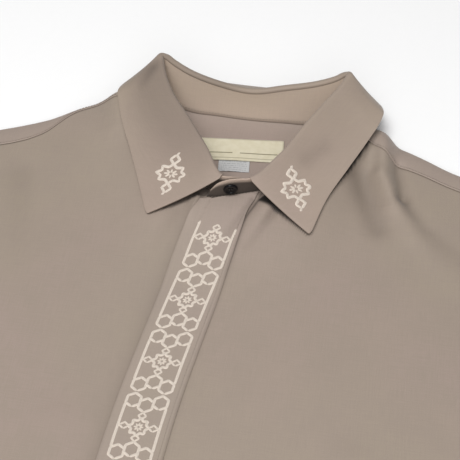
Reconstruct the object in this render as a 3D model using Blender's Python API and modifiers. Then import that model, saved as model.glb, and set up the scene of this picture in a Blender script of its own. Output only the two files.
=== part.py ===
"""Short sleeved shirt with an embroidered front, buttoned at the neck and laid flat on its back.

Metres, +Z up. +Y runs from the hem to the collar, and +X to the side whose front lies on top. The pieces
are worked out round the neck point, on the table under the middle of the neck, and hang from an empty
there. The origin is on the table, under the middle of the whole shirt.
"""
import math

import bmesh
import bpy
import numpy as np
from mathutils import Vector

MM = 0.001

# Cloth
WALL = 0.0013                 # body cloth
SLEEVE_WALL = 0.0012
COLLAR_WALL = 0.0016          # stand and leaf, with their stiffening
LABEL_WALL = 0.0010
GAP = 0.0004                  # air between pieces at a seam
REST_GAP = 0.0006             # air under the placket, which bends with the fronts
ARM_GAP = 0.0007              # air at the armhole, whose curve each piece divides in its own way

# Body, from the neck point
BODY_LENGTH = 0.770
COLLAR_REACH = 0.04716        # to the back of the leaf
HALF_CHEST = 0.298
HALF_SHOULDER = 0.249
ARMHOLE_TOP, UNDERARM = -0.110, -0.290      # y where the armhole starts to curve, and where it ends
BACK_SEAM = -0.090            # y of the seam between yoke and back
NECK_HALF = 0.083             # neck seam from the middle, at the shoulder
SHOULDER_TIP = -0.052         # y of the shoulder fold at the armhole
NECK_TURN = 0.016             # how much of the yoke turns up to the neck seam

# Heights of the middle of the fronts' wall over the table
FRONT_LOW = 0.0050
FRONT_EDGE = 0.0026           # at side seam and hem
ARM_EDGE = 0.0042             # at the armhole
MOUND = {"throat": 0.060, "left": 0.052, "right": 0.034}    # how far the collar lifts the cloth

# Placket, labels and button
PLACKET_WIDTH = 0.045
UNDERLAP = {"right_front": 0.012, "left_front": 0.014}      # front edges from the placket's middle
THROAT_Y = -0.0935            # top of the placket, in its middle
THROAT_SLANT = 0.32           # how its top slants up to +X
LABEL_SIZE = (0.071, 0.024)
LABEL_MIDDLE = (-0.003, -0.028)
LABEL_TURN = math.radians(5)
CARE_SIZE = (0.026, 0.0115)
CARE_MIDDLE = (-0.0065, -0.0462)
BUTTON_RADIUS, BUTTON_DEPTH = 0.0058, 0.0024
BUTTON_AT = (0.72, 0.55)      # between the first two rows of OUTER_END, and up the stand

# Sleeves
SLEEVE_TOP = 0.250            # length along the top fold
SLEEVE_DROP = math.radians(32)
CUFF = (-0.089, -0.183)       # from the top of the cuff to its underarm end
SLEEVE_HEIGHT = 0.0044        # between the middles of its two layers
SLEEVE_WIDTH = 0.240          # armhole from shoulder to underarm, as it lies

# Middle of the placket, in mm: y, x
PLACKET_LINE = (
    (-80, 3), (-98, -4), (-107, -8), (-125, -11.5), (-150, -15.6), (-181, -19.4), (-226, -26),
    (-278, -32.6), (-326, -36.4), (-420, -41), (-560, -44), (-775, -44),
)

# Shoulders, in mm: distance from the middle, y of the fold and of the front seam on the left (-X) and on
# the right
SHOULDERS = (
    (83, 8, -3, 8, -3),
    (104, 5, -5, 1, -18),
    (122, 0.5, -6, -7, -28),
    (147, -7, -12, -17, -36.5),
    (172, -21, -38.5, -29, -47),
    (249, -52, -69, -52, -69),
)

# Collar from its left point round the back to its right one, in mm: seam x y z, fold x y z, and the
# leaf's edge x y z
COLLAR = (
    (-23, -87.5, 20.8, -8.5, -89.3, 40, -65.4, -117.3, 16),
    (-36, -69.5, 22.5, -26.5, -63.5, 42.5, -76.5, -90, 19.5),
    (-57.5, -39.5, 24, -48.2, -33, 45, -89.5, -60, 23.5),
    (-73.5, -17.5, 25, -64, -11.5, 46.5, -101.5, -34, 27),
    (-82.4, -3, 24, -74, 9.5, 47.7, -108.5, -15, 30),
    (-83, 4, 22.5, -77.5, 20.5, 48.2, -111.6, -4.5, 31),
    (-83, 8, 21, -78.6, 25.5, 48.2, -110, 8, 27.5),
    (-80.5, 9.4, 17, -76, 26.8, 46.5, -102, 25.5, 17),
    (-73, 8.8, 10.5, -70, 26, 42, -87, 39.5, 9),
    (-54, 6.6, 4, -55, 23, 34.5, -64, 45, 3.8),
    (-28, 6, 2.8, -28, 18.5, 28.8, -32, 46.5, 2),
    (0, 5.5, 2.3, 0, 17, 26, 0, 46, 1.8),
    (28, 6, 2.8, 28, 21, 30, 32, 46.5, 2),
    (54, 6.8, 4, 55, 25, 35.2, 64, 45.5, 3.8),
    (73, 8.8, 10.5, 70, 27.5, 41.2, 87, 41.5, 9),
    (80.5, 9.4, 17, 76, 28, 46, 102, 29.5, 17),
    (83, 8, 21, 78.4, 26.5, 48.2, 109.5, 15.5, 24.5),
    (83, 4, 22.5, 77.4, 22, 48.2, 111, 4, 29),
    (82.4, -3, 24, 75, 15, 48, 108.5, -7, 29),
    (75, -12, 25, 65.5, -2.5, 46.6, 101, -25, 27),
    (60, -37, 24, 50, -31.5, 45, 87.5, -55, 24),
    (43, -69, 22.5, 34, -63.5, 42.5, 74.5, -84, 20.5),
    (22, -83.5, 20.8, 13.6, -89.5, 41, 65, -118.7, 16),
)
FRONT_BOW = (-0.2, -0.6, -1.6)       # how far the middle of the leaf's front edge bows out, in mm
# Ends of the stand past the leaf, the outer one coming from +X, in mm: seam x y z, top x y z
OUTER_END = (
    (9, -88.2, 20, 4, -91.2, 40.6),
    (-5, -92.6, 19.8, -5, -92.6, 38.8),
    (-14, -95.3, 19.8, -12.5, -93.6, 34.3),
    (-20.5, -95.8, 20, -17.2, -94.4, 27),
)
INNER_END = (
    (5, -85.6, 19.8, 6, -84.6, 35),
    (-4, -89.0, 19.8, 2, -87.2, 37.8),
    (-14, -91.0, 20, -3, -89.0, 39.4),
)

# Ridges of the fronts, in mm: start x y, end x y, height at start and end, half width
FOLDS = (
    (-114, 12, -106, -28, 12, 4.5, 13),
    (114, -2, 117, -46, 8, 8, 8),
    (117, -46, 128, -72, 8, 6, 9),
    (128, -72, 146, -98, 6, 1.5, 10),
    (-28, -100, -31, -124, 2.5, 0, 4),
    (32, -98, 15, -150, 2.2, 0, 6),
)

COLOURS = {
    "back": (0.345, 0.291, 0.244),
    "yoke": (0.352, 0.290, 0.254),
    "right_front": (0.350, 0.298, 0.246),
    "left_front": (0.355, 0.296, 0.250),
    "placket": (0.340, 0.288, 0.246),
    "collar_stand": (0.345, 0.283, 0.240),
    "collar_leaf": (0.362, 0.296, 0.250),
    "right_sleeve": (0.340, 0.288, 0.240),
    "left_sleeve": (0.343, 0.290, 0.243),
    "neck_label": (0.730, 0.665, 0.460),
    "care_label": (0.580, 0.590, 0.600),
    "collar_button": (0.008, 0.008, 0.010),
}


def clear_scene():
    for thing in list(bpy.data.objects):
        bpy.data.objects.remove(thing, do_unlink=True)


def make_material(name):
    glossy = name == "collar_button"
    material = bpy.data.materials.new(name)
    material.use_nodes = True
    shader = material.node_tree.nodes["Principled BSDF"]
    shader.inputs["Base Color"].default_value = (*COLOURS[name], 1.0)
    shader.inputs["Roughness"].default_value = 0.12 if glossy else 0.85
    shader.inputs["Metallic"].default_value = 0.0
    return material


def ramp(value, low, high):
    """0 below low, 1 above high, smooth between."""
    t = np.clip((value - low) / (high - low), 0.0, 1.0)
    return t * t * (3.0 - 2.0 * t)


def smooth_rows(rows, steps):
    """Smooth curve through the rows, read at each row and at steps - 1 places between two rows."""
    knots = np.concatenate([[0], np.cumsum(np.linalg.norm(np.diff(rows, axis=0), axis=1))])
    slopes = np.gradient(rows, knots, axis=0)
    places = np.arange((len(rows) - 1) * steps + 1) / steps
    first = np.minimum(places.astype(int), len(rows) - 2)
    t = (places - first)[:, None]
    reach = np.diff(knots)[first][:, None]
    start, end = rows[first], rows[first + 1]
    return ((1 + 2 * t) * (1 - t) ** 2 * start + t * (1 - t) ** 2 * reach * slopes[first]
            + t * t * (3 - 2 * t) * end - t * t * (1 - t) * reach * slopes[first + 1])


STAND_ROWS = np.vstack([INNER_END, np.array(COLLAR, float)[:, :6], OUTER_END]) * MM
STAND_LINES = smooth_rows(STAND_ROWS, 2)
SEAM = smooth_rows(STAND_ROWS[len(INNER_END):-2, :3], 12)
BACK_NECK = SEAM[SEAM[:, 1] > 4 * MM]
FRONT_NECK = SEAM[SEAM[:, 1] < 0]
FRONT_NECK = FRONT_NECK[np.argsort(FRONT_NECK[:, 0])]
PLACKET_MIDDLE = smooth_rows(np.array(PLACKET_LINE, float) * MM, 8)[::-1]
SHOULDER_LINES = smooth_rows(np.array(SHOULDERS, float) * MM, 6)


def shoulder_fold(x):
    left, right = (np.interp(np.abs(x), SHOULDER_LINES[:, 0], SHOULDER_LINES[:, k]) for k in (1, 3))
    return np.where(x < 0, left, right)


def front_seam(x):
    """y of the seam between yoke and front."""
    left, right = (np.interp(np.abs(x), SHOULDER_LINES[:, 0], SHOULDER_LINES[:, k]) for k in (2, 4))
    return np.where(x < 0, left, right)


def armhole(y):
    """Half width of the body at y, from shoulder to hem."""
    down = np.clip((ARMHOLE_TOP - y) / (ARMHOLE_TOP - UNDERARM), 0.0, 1.0)
    return HALF_SHOULDER + (HALF_CHEST - HALF_SHOULDER) * down ** 2


def placket_middle(y):
    return np.interp(y, PLACKET_MIDDLE[:, 0], PLACKET_MIDDLE[:, 1])


def fold_height(x, y):
    """Ridges of FOLDS, round across and fading past their ends."""
    height = np.zeros_like(x)
    for x0, y0, x1, y1, start, end, half in np.array(FOLDS, float) * MM:
        length = math.hypot(x1 - x0, y1 - y0)
        share = np.clip(((x - x0) * (x1 - x0) + (y - y0) * (y1 - y0)) / length ** 2, 0, 1)
        away = np.hypot(x - x0 - share * (x1 - x0), y - y0 - share * (y1 - y0))
        height = np.maximum(height, (start + (end - start) * share) * np.exp(-(away / half) ** 2))
    return height


def cloth_height(x, y):
    """Middle of the fronts' wall over the table: air in the body, the collar's lift, then the folds."""
    edge = FRONT_EDGE + (ARM_EDGE - FRONT_EDGE) * ramp(y, UNDERARM - 0.04, UNDERARM + 0.04)
    middle = (1 - ramp(np.abs(x) / armhole(y), 0.7, 1.0)) * ramp(y, -BODY_LENGTH, -BODY_LENGTH + 0.12)
    low = edge + (FRONT_LOW - edge) * middle
    away = np.hypot(x[..., None] - SEAM[:, 0], y[..., None] - SEAM[:, 1])
    nearest = away.argmin(axis=-1)
    side = np.where(x < 0, MOUND["left"], MOUND["right"])
    reach = MOUND["throat"] + (side - MOUND["throat"]) * ramp(np.abs(x), 0.05, 0.11)
    lift = (SEAM[nearest, 2] - low) * np.exp(-(away.min(axis=-1) / reach) ** 2)
    return low + lift + fold_height(x, y)


def sheet_mesh(name, points, keep=None):
    """Mesh of a grid laid on points[row, column]; keep says which of its quads stay."""
    rows, columns = points.shape[:2]
    grid = bmesh.new()
    bmesh.ops.create_grid(grid, x_segments=columns - 1, y_segments=rows - 1, size=0.5)
    grid.verts.ensure_lookup_table()
    for vert, place in zip(grid.verts, points.reshape(-1, 3)):
        vert.co = place
    if keep is not None:
        grid.faces.ensure_lookup_table()
        loose = [face for face, stays in zip(grid.faces, keep.ravel()) if not stays]
        bmesh.ops.delete(grid, geom=loose, context="FACES")
    mesh = bpy.data.meshes.new(name)
    grid.to_mesh(mesh)
    grid.free()
    return mesh


def add_piece(name, mesh, home, parent, wall=None):
    """Object of a piece; wall makes it a shell, half to each side of its mesh."""
    piece = bpy.data.objects.new(name, mesh)
    home.objects.link(piece)
    piece.parent = parent
    mesh.materials.append(make_material(name))
    mesh.shade_smooth()
    if wall:
        shell = piece.modifiers.new("Wall", "SOLIDIFY")
        shell.thickness = wall
        shell.offset = 0.0
    return piece


def patch(bottom, top, inner, outer, share):
    """Points between four edge lines: columns as along the top, rows at share of the way up."""
    u = ((top[:, 0] - top[0, 0]) / (top[-1, 0] - top[0, 0]))[None, :, None]
    v = share[:, None, None]
    return ((1 - u) * inner[:, None] + u * outer[:, None] + (1 - v) * bottom[None] + v * top[None]
            - (1 - u) * (1 - v) * inner[0] - u * (1 - v) * outer[0]
            - (1 - u) * v * inner[-1] - u * v * outer[-1])


def make_front(name, side, home, parent):
    """Front panel from its edge under the placket to the side seam; side is -1 or 1."""
    share = 1 - np.linspace(1, 0, 21) ** 1.6
    edge = UNDERLAP[name]
    throat_x = float(placket_middle(THROAT_Y)) + edge
    outwards = np.linspace(0, 1, 13)[1:] ** 1.35
    top_x = np.concatenate([np.linspace(throat_x, side * NECK_HALF, 12),
                            side * (NECK_HALF + (HALF_SHOULDER - NECK_HALF) * outwards)])
    neck_y = np.interp(top_x, FRONT_NECK[:, 0], FRONT_NECK[:, 1])
    top_y = np.where(np.abs(top_x) < NECK_HALF - 1e-6, neck_y, front_seam(top_x) - GAP)
    top = np.stack([top_x, top_y], axis=-1)
    inner_y = -BODY_LENGTH + share * (top_y[0] + BODY_LENGTH)
    inner = np.stack([placket_middle(inner_y) + edge, inner_y], axis=-1)
    outer_y = -BODY_LENGTH + share * (top_y[-1] + BODY_LENGTH)
    outer = np.stack([side * armhole(outer_y), outer_y], axis=-1)
    hem_x = inner[0, 0] + (top_x - top_x[0]) / (top_x[-1] - top_x[0]) * (outer[0, 0] - inner[0, 0])
    hem = np.stack([hem_x, np.full_like(hem_x, -BODY_LENGTH)], axis=-1)
    inner[-1] = top[0]
    flat = patch(hem, top, inner, outer, share)
    points = np.dstack([flat, cloth_height(flat[..., 0], flat[..., 1])])
    return add_piece(name, sheet_mesh(name, points[:, ::side]), home, parent, WALL)


def make_back(home, parent):
    y = np.concatenate([np.linspace(-BODY_LENGTH, UNDERARM, 8)[:-1],
                        np.linspace(UNDERARM, BACK_SEAM - GAP, 16)])[:, None]
    u = np.linspace(-1, 1, 5)[None, :]
    points = np.dstack([u * armhole(y), y + 0 * u, 0 * u * y + WALL / 2])
    return add_piece("back", sheet_mesh("back", points), home, parent, WALL)


def make_yoke(home, parent):
    """Yoke: flat from the back seam, up to the neck seam in the middle, and over the shoulders to the
    front seam at the sides."""
    outer = NECK_HALF + (HALF_SHOULDER - NECK_HALF) * np.linspace(0, 1, 13)[1:] ** 1.35
    x = np.concatenate([-outer[::-1], np.linspace(-NECK_HALF, NECK_HALF, 19), outer])
    middle = np.abs(x) < NECK_HALF
    low = WALL / 2
    seam_y = front_seam(x)
    top_z = cloth_height(x, seam_y)
    turn_y = np.where(middle, np.interp(x, BACK_NECK[:, 0], BACK_NECK[:, 1]), shoulder_fold(x))
    turn_share = 0.89 - 0.39 * ramp(np.abs(x), NECK_HALF, 0.16)
    turn_z = np.where(middle, np.interp(x, BACK_NECK[:, 0], BACK_NECK[:, 2]),
                      low + (top_z - low) * turn_share)
    turn = NECK_TURN + (0.0025 - NECK_TURN) * ramp(np.abs(x), NECK_HALF, 0.16)
    last = np.radians(60 + 30 * ramp(np.abs(x), 0.05, NECK_HALF))
    start = turn_y - turn
    rows = [(x, BACK_SEAM + (start - BACK_SEAM) * share, low + 0 * x) for share in (0, 0.35, 0.7)]
    for angle in np.linspace(0, 1, 6)[:, None] * last:
        rows.append((x, start + turn * np.sin(angle) / np.sin(last),
                     low + (turn_z - low) * (1 - np.cos(angle)) / (1 - np.cos(last))))
    turn_row = len(rows) - 1
    for angle in np.radians(np.linspace(0, 90, 6))[1:]:
        y = turn_y - (turn_y - seam_y) * (1 - math.cos(angle))
        rows.append((x, y, turn_z + (cloth_height(x, y) - turn_z) * math.sin(angle)))
    points = np.array(rows).transpose(0, 2, 1)
    in_neck = (np.abs(x[:-1] + x[1:]) / 2 < NECK_HALF)[None, :]
    keep = ~(in_neck & (np.arange(len(rows) - 1) >= turn_row)[:, None])
    return add_piece("yoke", sheet_mesh("yoke", points, keep), home, parent, WALL)


def make_placket(home, parent):
    """Strip over both front edges, from the neck seam to the hem."""
    share = np.linspace(1, 0, 30) ** 1.4
    y = (-BODY_LENGTH + (1 - share) * (THROAT_Y + BODY_LENGTH))[:, None]
    u = np.linspace(-1, 1, 7)[None, :]
    x = placket_middle(y) + u * PLACKET_WIDTH / 2
    slant = THROAT_SLANT * ramp(y, THROAT_Y - 0.06, THROAT_Y)
    y = y + slant * u * PLACKET_WIDTH / 2
    points = np.dstack([x, y, cloth_height(x, y) + WALL + REST_GAP])
    return add_piece("placket", sheet_mesh("placket", points), home, parent, WALL)


def make_collar_stand(home, parent):
    """Band from the neck seam to the fold; its right end lies over its left one at the throat."""
    seam = STAND_LINES[:, :3] + (0, 0, WALL / 2 + COLLAR_WALL / 2 + 0.5 * MM)
    share = np.linspace(0, 1, 4)[:, None, None]
    points = seam + (STAND_LINES[:, 3:] - seam) * share
    return add_piece("collar_stand", sheet_mesh("collar_stand", points), home, parent, COLLAR_WALL)


def make_collar_leaf(home, parent):
    """Leaf turned over the stand's top and down to its free edge."""
    fold = STAND_LINES[2 * len(INNER_END):-2 * len(OUTER_END), 3:]
    edge = smooth_rows(np.array(COLLAR, float)[:, 6:] * MM, 2)
    along = np.gradient(fold, axis=0)
    out = np.stack([-along[:, 1], along[:, 0], 0 * along[:, 0]], axis=-1)
    out /= np.linalg.norm(out, axis=1)[:, None]
    up = np.array((0, 0, 1.0))
    roll = [fold + out * x * MM + up * z * MM for x, z in ((0, 2.0), (1.9, 1.9), (3.4, 0.5))]
    front = np.exp(-np.minimum(np.arange(len(fold)), np.arange(len(fold))[::-1]) / 1.5)[:, None]
    bow = (front * np.array(FRONT_BOW) - (1 - front) * up * 1.5) * MM
    bow[len(bow) // 2:, 0] *= -1
    fall = [roll[-1] + (edge - roll[-1]) * share + bow * math.sin(math.pi * share ** 0.85)
            for share in (0.22, 0.48, 0.74, 1.0)]
    points = np.array(roll + fall)
    return add_piece("collar_leaf", sheet_mesh("collar_leaf", points), home, parent, COLLAR_WALL)


def sleeve_ring():
    """Flattened ring round a sleeve: share of the way from its top fold to the underarm, and height."""
    radius = SLEEVE_HEIGHT / 2
    turn = np.radians(np.linspace(-90, 90, 5))
    end, flat = radius / SLEEVE_WIDTH * (1 - np.cos(turn)), np.linspace(0, 1, 10)[1:-1]
    across = np.concatenate([end, flat, 1 - end, flat[::-1]])
    height = np.concatenate([radius * np.sin(turn), np.full(len(flat), radius),
                             radius * np.sin(turn[::-1]), np.full(len(flat), -radius)])
    return across, SLEEVE_WALL / 2 + radius + height


def make_sleeve(name, side, home, parent):
    """Flattened tube from the armhole to the cuff."""
    across, height = sleeve_ring()
    shoulder = SHOULDER_TIP
    arm_y = shoulder + (UNDERARM - shoulder) * across
    arm = np.stack([armhole(arm_y) + ARM_GAP, arm_y, height], axis=-1)
    cuff = np.stack([HALF_SHOULDER + SLEEVE_TOP * math.cos(SLEEVE_DROP) + CUFF[0] * across,
                     shoulder - SLEEVE_TOP * math.sin(SLEEVE_DROP) + CUFF[1] * across, height], axis=-1)
    arm[:, 0] += SLEEVE_WALL * across ** 8
    tube = bmesh.new()
    rings = [[tube.verts.new(place * (side, 1, 1)) for place in arm + (cuff - arm) * share]
             for share in np.linspace(0, 1, 7)]
    for near, far in zip(rings, rings[1:]):
        for k in range(len(near)):
            tube.faces.new((near[k], near[k - 1], far[k - 1], far[k]))
    bmesh.ops.recalc_face_normals(tube, faces=tube.faces)
    mesh = bpy.data.meshes.new(name)
    tube.to_mesh(mesh)
    tube.free()
    return add_piece(name, mesh, home, parent, SLEEVE_WALL)


def make_label(name, size, middle, home, parent):
    """Small woven patch on the inside of the yoke, turned a little on it."""
    u, v = np.meshgrid(np.linspace(-0.5, 0.5, 5) * size[0], np.linspace(-0.5, 0.5, 3) * size[1])
    cos, sin = math.cos(LABEL_TURN), math.sin(LABEL_TURN)
    points = np.dstack([middle[0] + u * cos - v * sin, middle[1] + u * sin + v * cos,
                        np.full(u.shape, WALL + GAP + LABEL_WALL / 2)])
    return add_piece(name, sheet_mesh(name, points), home, parent, LABEL_WALL)


def make_button(home, parent):
    """Turned button with a raised rim, standing off the outer end of the stand."""
    r, d = BUTTON_RADIUS, BUTTON_DEPTH
    outline = ((0, d * 0.7), (r * 0.62, d * 0.7), (r * 0.78, d), (r * 0.92, d), (r, d * 0.72),
               (r, d * 0.3), (r * 0.88, 0), (0, 0))
    profile = bmesh.new()
    points = [profile.verts.new((x, 0, z)) for x, z in outline]
    for one, two in zip(points, points[1:]):
        profile.edges.new((one, two))
    mesh = bpy.data.meshes.new("collar_button")
    profile.to_mesh(mesh)
    profile.free()
    button = add_piece("collar_button", mesh, home, parent)
    turn = button.modifiers.new("Turn", "SCREW")
    turn.steps = turn.render_steps = 20
    turn.use_merge_vertices = True
    turn.merge_threshold = 0.00001
    turn.use_normal_calculate = True
    rows = np.array(OUTER_END[:2], float) * MM
    lines = rows[:, :3] + (rows[:, 3:] - rows[:, :3]) * BUTTON_AT[1]
    rise = (rows[:, 3:] - rows[:, :3]).mean(axis=0)
    facing = Vector(np.cross(rise, lines[1] - lines[0])).normalized()
    seat = Vector(lines[0] + (lines[1] - lines[0]) * BUTTON_AT[0])
    button.location = seat + facing * (COLLAR_WALL / 2 + REST_GAP)
    button.rotation_euler = facing.to_track_quat("Z", "Y").to_euler()
    return button


def main():
    clear_scene()
    home = bpy.data.collections.new("embroidered_shirt")
    bpy.context.scene.collection.children.link(home)
    neck = bpy.data.objects.new("neck_point", None)
    home.objects.link(neck)
    neck.location = (0, (BODY_LENGTH - COLLAR_REACH) / 2, 0)
    make_back(home, neck)
    make_yoke(home, neck)
    make_front("right_front", -1, home, neck)
    make_front("left_front", 1, home, neck)
    make_placket(home, neck)
    make_collar_stand(home, neck)
    make_collar_leaf(home, neck)
    make_sleeve("right_sleeve", -1, home, neck)
    make_sleeve("left_sleeve", 1, home, neck)
    make_label("neck_label", LABEL_SIZE, LABEL_MIDDLE, home, neck)
    make_label("care_label", CARE_SIZE, CARE_MIDDLE, home, neck)
    make_button(home, neck)


main()
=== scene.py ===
"""Short sleeved shirt with an embroidered front, buttoned at the neck and laid flat on its back.

Each piece is a thin sheet over the form of its solid. Shapes are worked out in metres round the neck
point, which is on the table under the middle of the neck: +Y runs from the hem to the collar, +X to the
side whose front lies on top, +Z up. Right and left are the wearer's, so the right front is on -X.
"""
import math

import bpy
import numpy as np
from bpy.props import FloatProperty, FloatVectorProperty, PointerProperty
from bpy.types import Operator, Panel, PropertyGroup
from mathutils import Matrix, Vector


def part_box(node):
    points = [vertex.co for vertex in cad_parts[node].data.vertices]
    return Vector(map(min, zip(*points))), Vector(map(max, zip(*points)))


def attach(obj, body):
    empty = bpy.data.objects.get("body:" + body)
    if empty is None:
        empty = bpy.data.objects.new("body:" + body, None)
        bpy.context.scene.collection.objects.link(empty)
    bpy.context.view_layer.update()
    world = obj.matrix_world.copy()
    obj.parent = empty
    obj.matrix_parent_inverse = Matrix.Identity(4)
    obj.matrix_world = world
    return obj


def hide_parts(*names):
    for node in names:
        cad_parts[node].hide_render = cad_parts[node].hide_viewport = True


bl_info = {
    "name": "Embroidered Shirt",
    "version": (1, 0, 0),
    "blender": (4, 5, 0),
    "location": "View3D > Sidebar > Shirt",
    "description": "Builds an embroidered short sleeved shirt, laid flat, over its packed frame",
    "category": "Add Mesh",
}

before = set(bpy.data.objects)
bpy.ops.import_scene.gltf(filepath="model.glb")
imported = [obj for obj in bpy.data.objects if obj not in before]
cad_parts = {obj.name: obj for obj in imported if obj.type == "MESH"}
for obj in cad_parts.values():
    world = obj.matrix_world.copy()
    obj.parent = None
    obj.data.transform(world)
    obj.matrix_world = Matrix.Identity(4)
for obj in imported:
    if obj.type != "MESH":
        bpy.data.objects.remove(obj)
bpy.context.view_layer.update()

MM = 0.001
BODY_LENGTH = 0.770
NECK_POINT = np.array((0.0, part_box("back")[0][1] + BODY_LENGTH, 0.0))     # the hem is the back's lowest y

# Body
HALF_CHEST, HALF_SHOULDER = 0.298, 0.249
ARMHOLE_TOP, UNDERARM = -0.110, -0.290      # y where the armhole starts to curve, and where it ends
BACK_SEAM = -0.090
NECK_HALF = 0.083             # neck seam from the middle, at the shoulder
SHOULDER_TIP = -0.052
NECK_TURN, SHOULDER_TURN = 0.016, 0.0025    # how much of the yoke turns up, at the neck and further out
NECK_EASE = 0.160             # x where it turns as far out on the shoulder
SEAM_LAP = 0.0028             # how far a panel runs on under the one sewn over it

# Heights of the fronts over the table
FRONT_LOW, FRONT_EDGE, ARM_EDGE = 0.0050, 0.0012, 0.0042
SIDE_ROUND, HEM_AIR = 0.018, 0.15           # width rounded down at the sides, and share of air at the hem
SLACK = 0.35 * MM             # height of the slack wave
MOUND = {"throat": 0.060, "left": 0.052, "right": 0.034}    # how far from the neck its lift reaches

# Placket, labels and button
PLACKET_WIDTH = 0.045
PLACKET_RISE = 0.0019         # of the strip's face over the fronts
STRIP_WALL = 1.6              # its wall as a share of the body's
RIM = 0.0003                  # of a rounded edge
UNDERLAP = {"right_front": 0.012, "left_front": 0.014}      # x of a front's edge from the strip's middle
THROAT_Y, THROAT_SLANT = -0.0935, 0.32                      # y and slope of the strip's top end
LABEL_TURN, LABEL_WALL, LABEL_WAVE = math.radians(5), 0.0004, 0.35 * MM
BUTTON_RADIUS, BUTTON_DEPTH, BUTTON_LIFT = 0.0058, 0.0024, 1.3 * MM
BUTTON_AT = (0.72, 0.55)                 # shares of the way along the stand's end and up it
BUTTON_PIT = (0.62 * MM, 1.1 * MM)       # radius and depth of a hole
BUTTON_THREAD, BUTTON_STRANDS = 0.17 * MM, (-0.16 * MM, 0.16 * MM)      # radius, and where its strands lie
BUTTON_HOLES = np.array(((-1, -1), (-1, 1), (1, 1), (1, -1))) * 1.05 * MM
# Width and height, middle and height over the table
LABELS = {
    "neck_label": ((0.071, 0.024), (-0.003, -0.028), 1.7 * MM),
    "care_label": ((0.026, 0.0115), (-0.0065, -0.0462), 1.3 * MM),
}
# From the middle of the face over the rim and back under: radius and height as shares
BUTTON_SECTION = ((0, 0.62), (0.3, 0.6), (0.58, 0.66), (0.72, 0.95), (0.84, 1.0), (0.95, 0.86),
                  (1.0, 0.55), (0.97, 0.25), (0.86, 0.05), (0, 0))

# Sleeves
SLEEVE_TOP = 0.250
SLEEVE_DROP = math.radians(32)
CUFF = (-0.089, -0.183)       # x and y from its upper end to its lower one
SLEEVE_HEIGHT, SLEEVE_WIDTH = 0.0044, 0.240
SLEEVE_PINCH, SLEEVE_LAP = 0.62, 0.012   # share of its height, and of its length, inside the armhole
HEM_DEPTH = {"body": 0.022, "sleeve": 0.026}
HEM_RISE = 0.7 * MM                      # how much thicker the cloth is over a hem
SLEEVE_HEM = 1 - HEM_DEPTH["sleeve"] / SLEEVE_TOP        # share of a sleeve's length where its hem starts

# Middle of the placket, in mm: y, x
PLACKET_LINE = (
    (-80, 3), (-98, -4), (-107, -8), (-125, -11.5), (-150, -15.6), (-181, -19.4), (-226, -26),
    (-278, -32.6), (-326, -36.4), (-420, -41), (-560, -44), (-775, -44),
)
# Middle of the embroidered band on it, in mm: y, x
BAND_LINE = (
    (-100, -2), (-133, -9.5), (-160, -14.4), (-187, -19.7), (-240, -28.4), (-296, -34.6), (-360, -38.5),
    (-420, -41), (-560, -44), (-775, -44),
)

# Shoulders, in mm: distance from the middle, y of the fold and of the front seam on the left (-X) and on
# the right
SHOULDERS = (
    (83, 8, -3, 8, -3),
    (104, 5, -5, 1, -18),
    (122, 0.5, -6, -7, -28),
    (147, -7, -12, -17, -36.5),
    (172, -21, -38.5, -29, -47),
    (249, -52, -69, -52, -69),
)

# Collar from its left point round the back to its right one, in mm: seam x y z, fold x y z, and the
# leaf's edge x y z
COLLAR = (
    (-23, -87.5, 20.8, -8.5, -89.3, 40, -65.4, -117.3, 16),
    (-36, -69.5, 22.5, -26.5, -63.5, 42.5, -76.5, -90, 19.5),
    (-57.5, -39.5, 24, -48.2, -33, 45, -89.5, -60, 23.5),
    (-73.5, -17.5, 25, -64, -11.5, 46.5, -101.5, -34, 27),
    (-82.4, -3, 24, -74, 9.5, 47.7, -108.5, -15, 30),
    (-83, 4, 22.5, -77.5, 20.5, 48.2, -111.6, -4.5, 31),
    (-83, 8, 21, -78.6, 25.5, 48.2, -110, 8, 27.5),
    (-80.5, 9.4, 17, -76, 26.8, 46.5, -102, 25.5, 17),
    (-73, 8.8, 10.5, -70, 26, 42, -87, 39.5, 9),
    (-54, 6.6, 4, -55, 23, 34.5, -64, 45, 3.8),
    (-28, 6, 2.8, -28, 18.5, 28.8, -32, 46.5, 2),
    (0, 5.5, 2.3, 0, 17, 26, 0, 46, 1.8),
    (28, 6, 2.8, 28, 21, 30, 32, 46.5, 2),
    (54, 6.8, 4, 55, 25, 35.2, 64, 45.5, 3.8),
    (73, 8.8, 10.5, 70, 27.5, 41.2, 87, 41.5, 9),
    (80.5, 9.4, 17, 76, 28, 46, 102, 29.5, 17),
    (83, 8, 21, 78.4, 26.5, 48.2, 109.5, 15.5, 24.5),
    (83, 4, 22.5, 77.4, 22, 48.2, 111, 4, 29),
    (82.4, -3, 24, 75, 15, 48, 108.5, -7, 29),
    (75, -12, 25, 65.5, -2.5, 46.6, 101, -25, 27),
    (60, -37, 24, 50, -31.5, 45, 87.5, -55, 24),
    (43, -69, 22.5, 34, -63.5, 42.5, 74.5, -84, 20.5),
    (22, -83.5, 20.8, 13.6, -89.5, 41, 65, -118.7, 16),
)
# Bow of the leaf, in mm: x y z at its front edges, x turned round on +X, and down elsewhere
FRONT_BOW, LEAF_BOW = (-0.2, -0.6, -1.6), 1.5
# The fold of the collar in section, from inside the stand over its top, in mm: outwards, up
FOLD_SECTION = ((-0.95, -1.3), (-1.05, -0.7), (-0.95, -0.1), (-0.6, 0.5), (0, 0.9), (0.7, 1.05),
                (1.5, 0.95), (2.4, 0.6), (3.4, 0.1))
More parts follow.
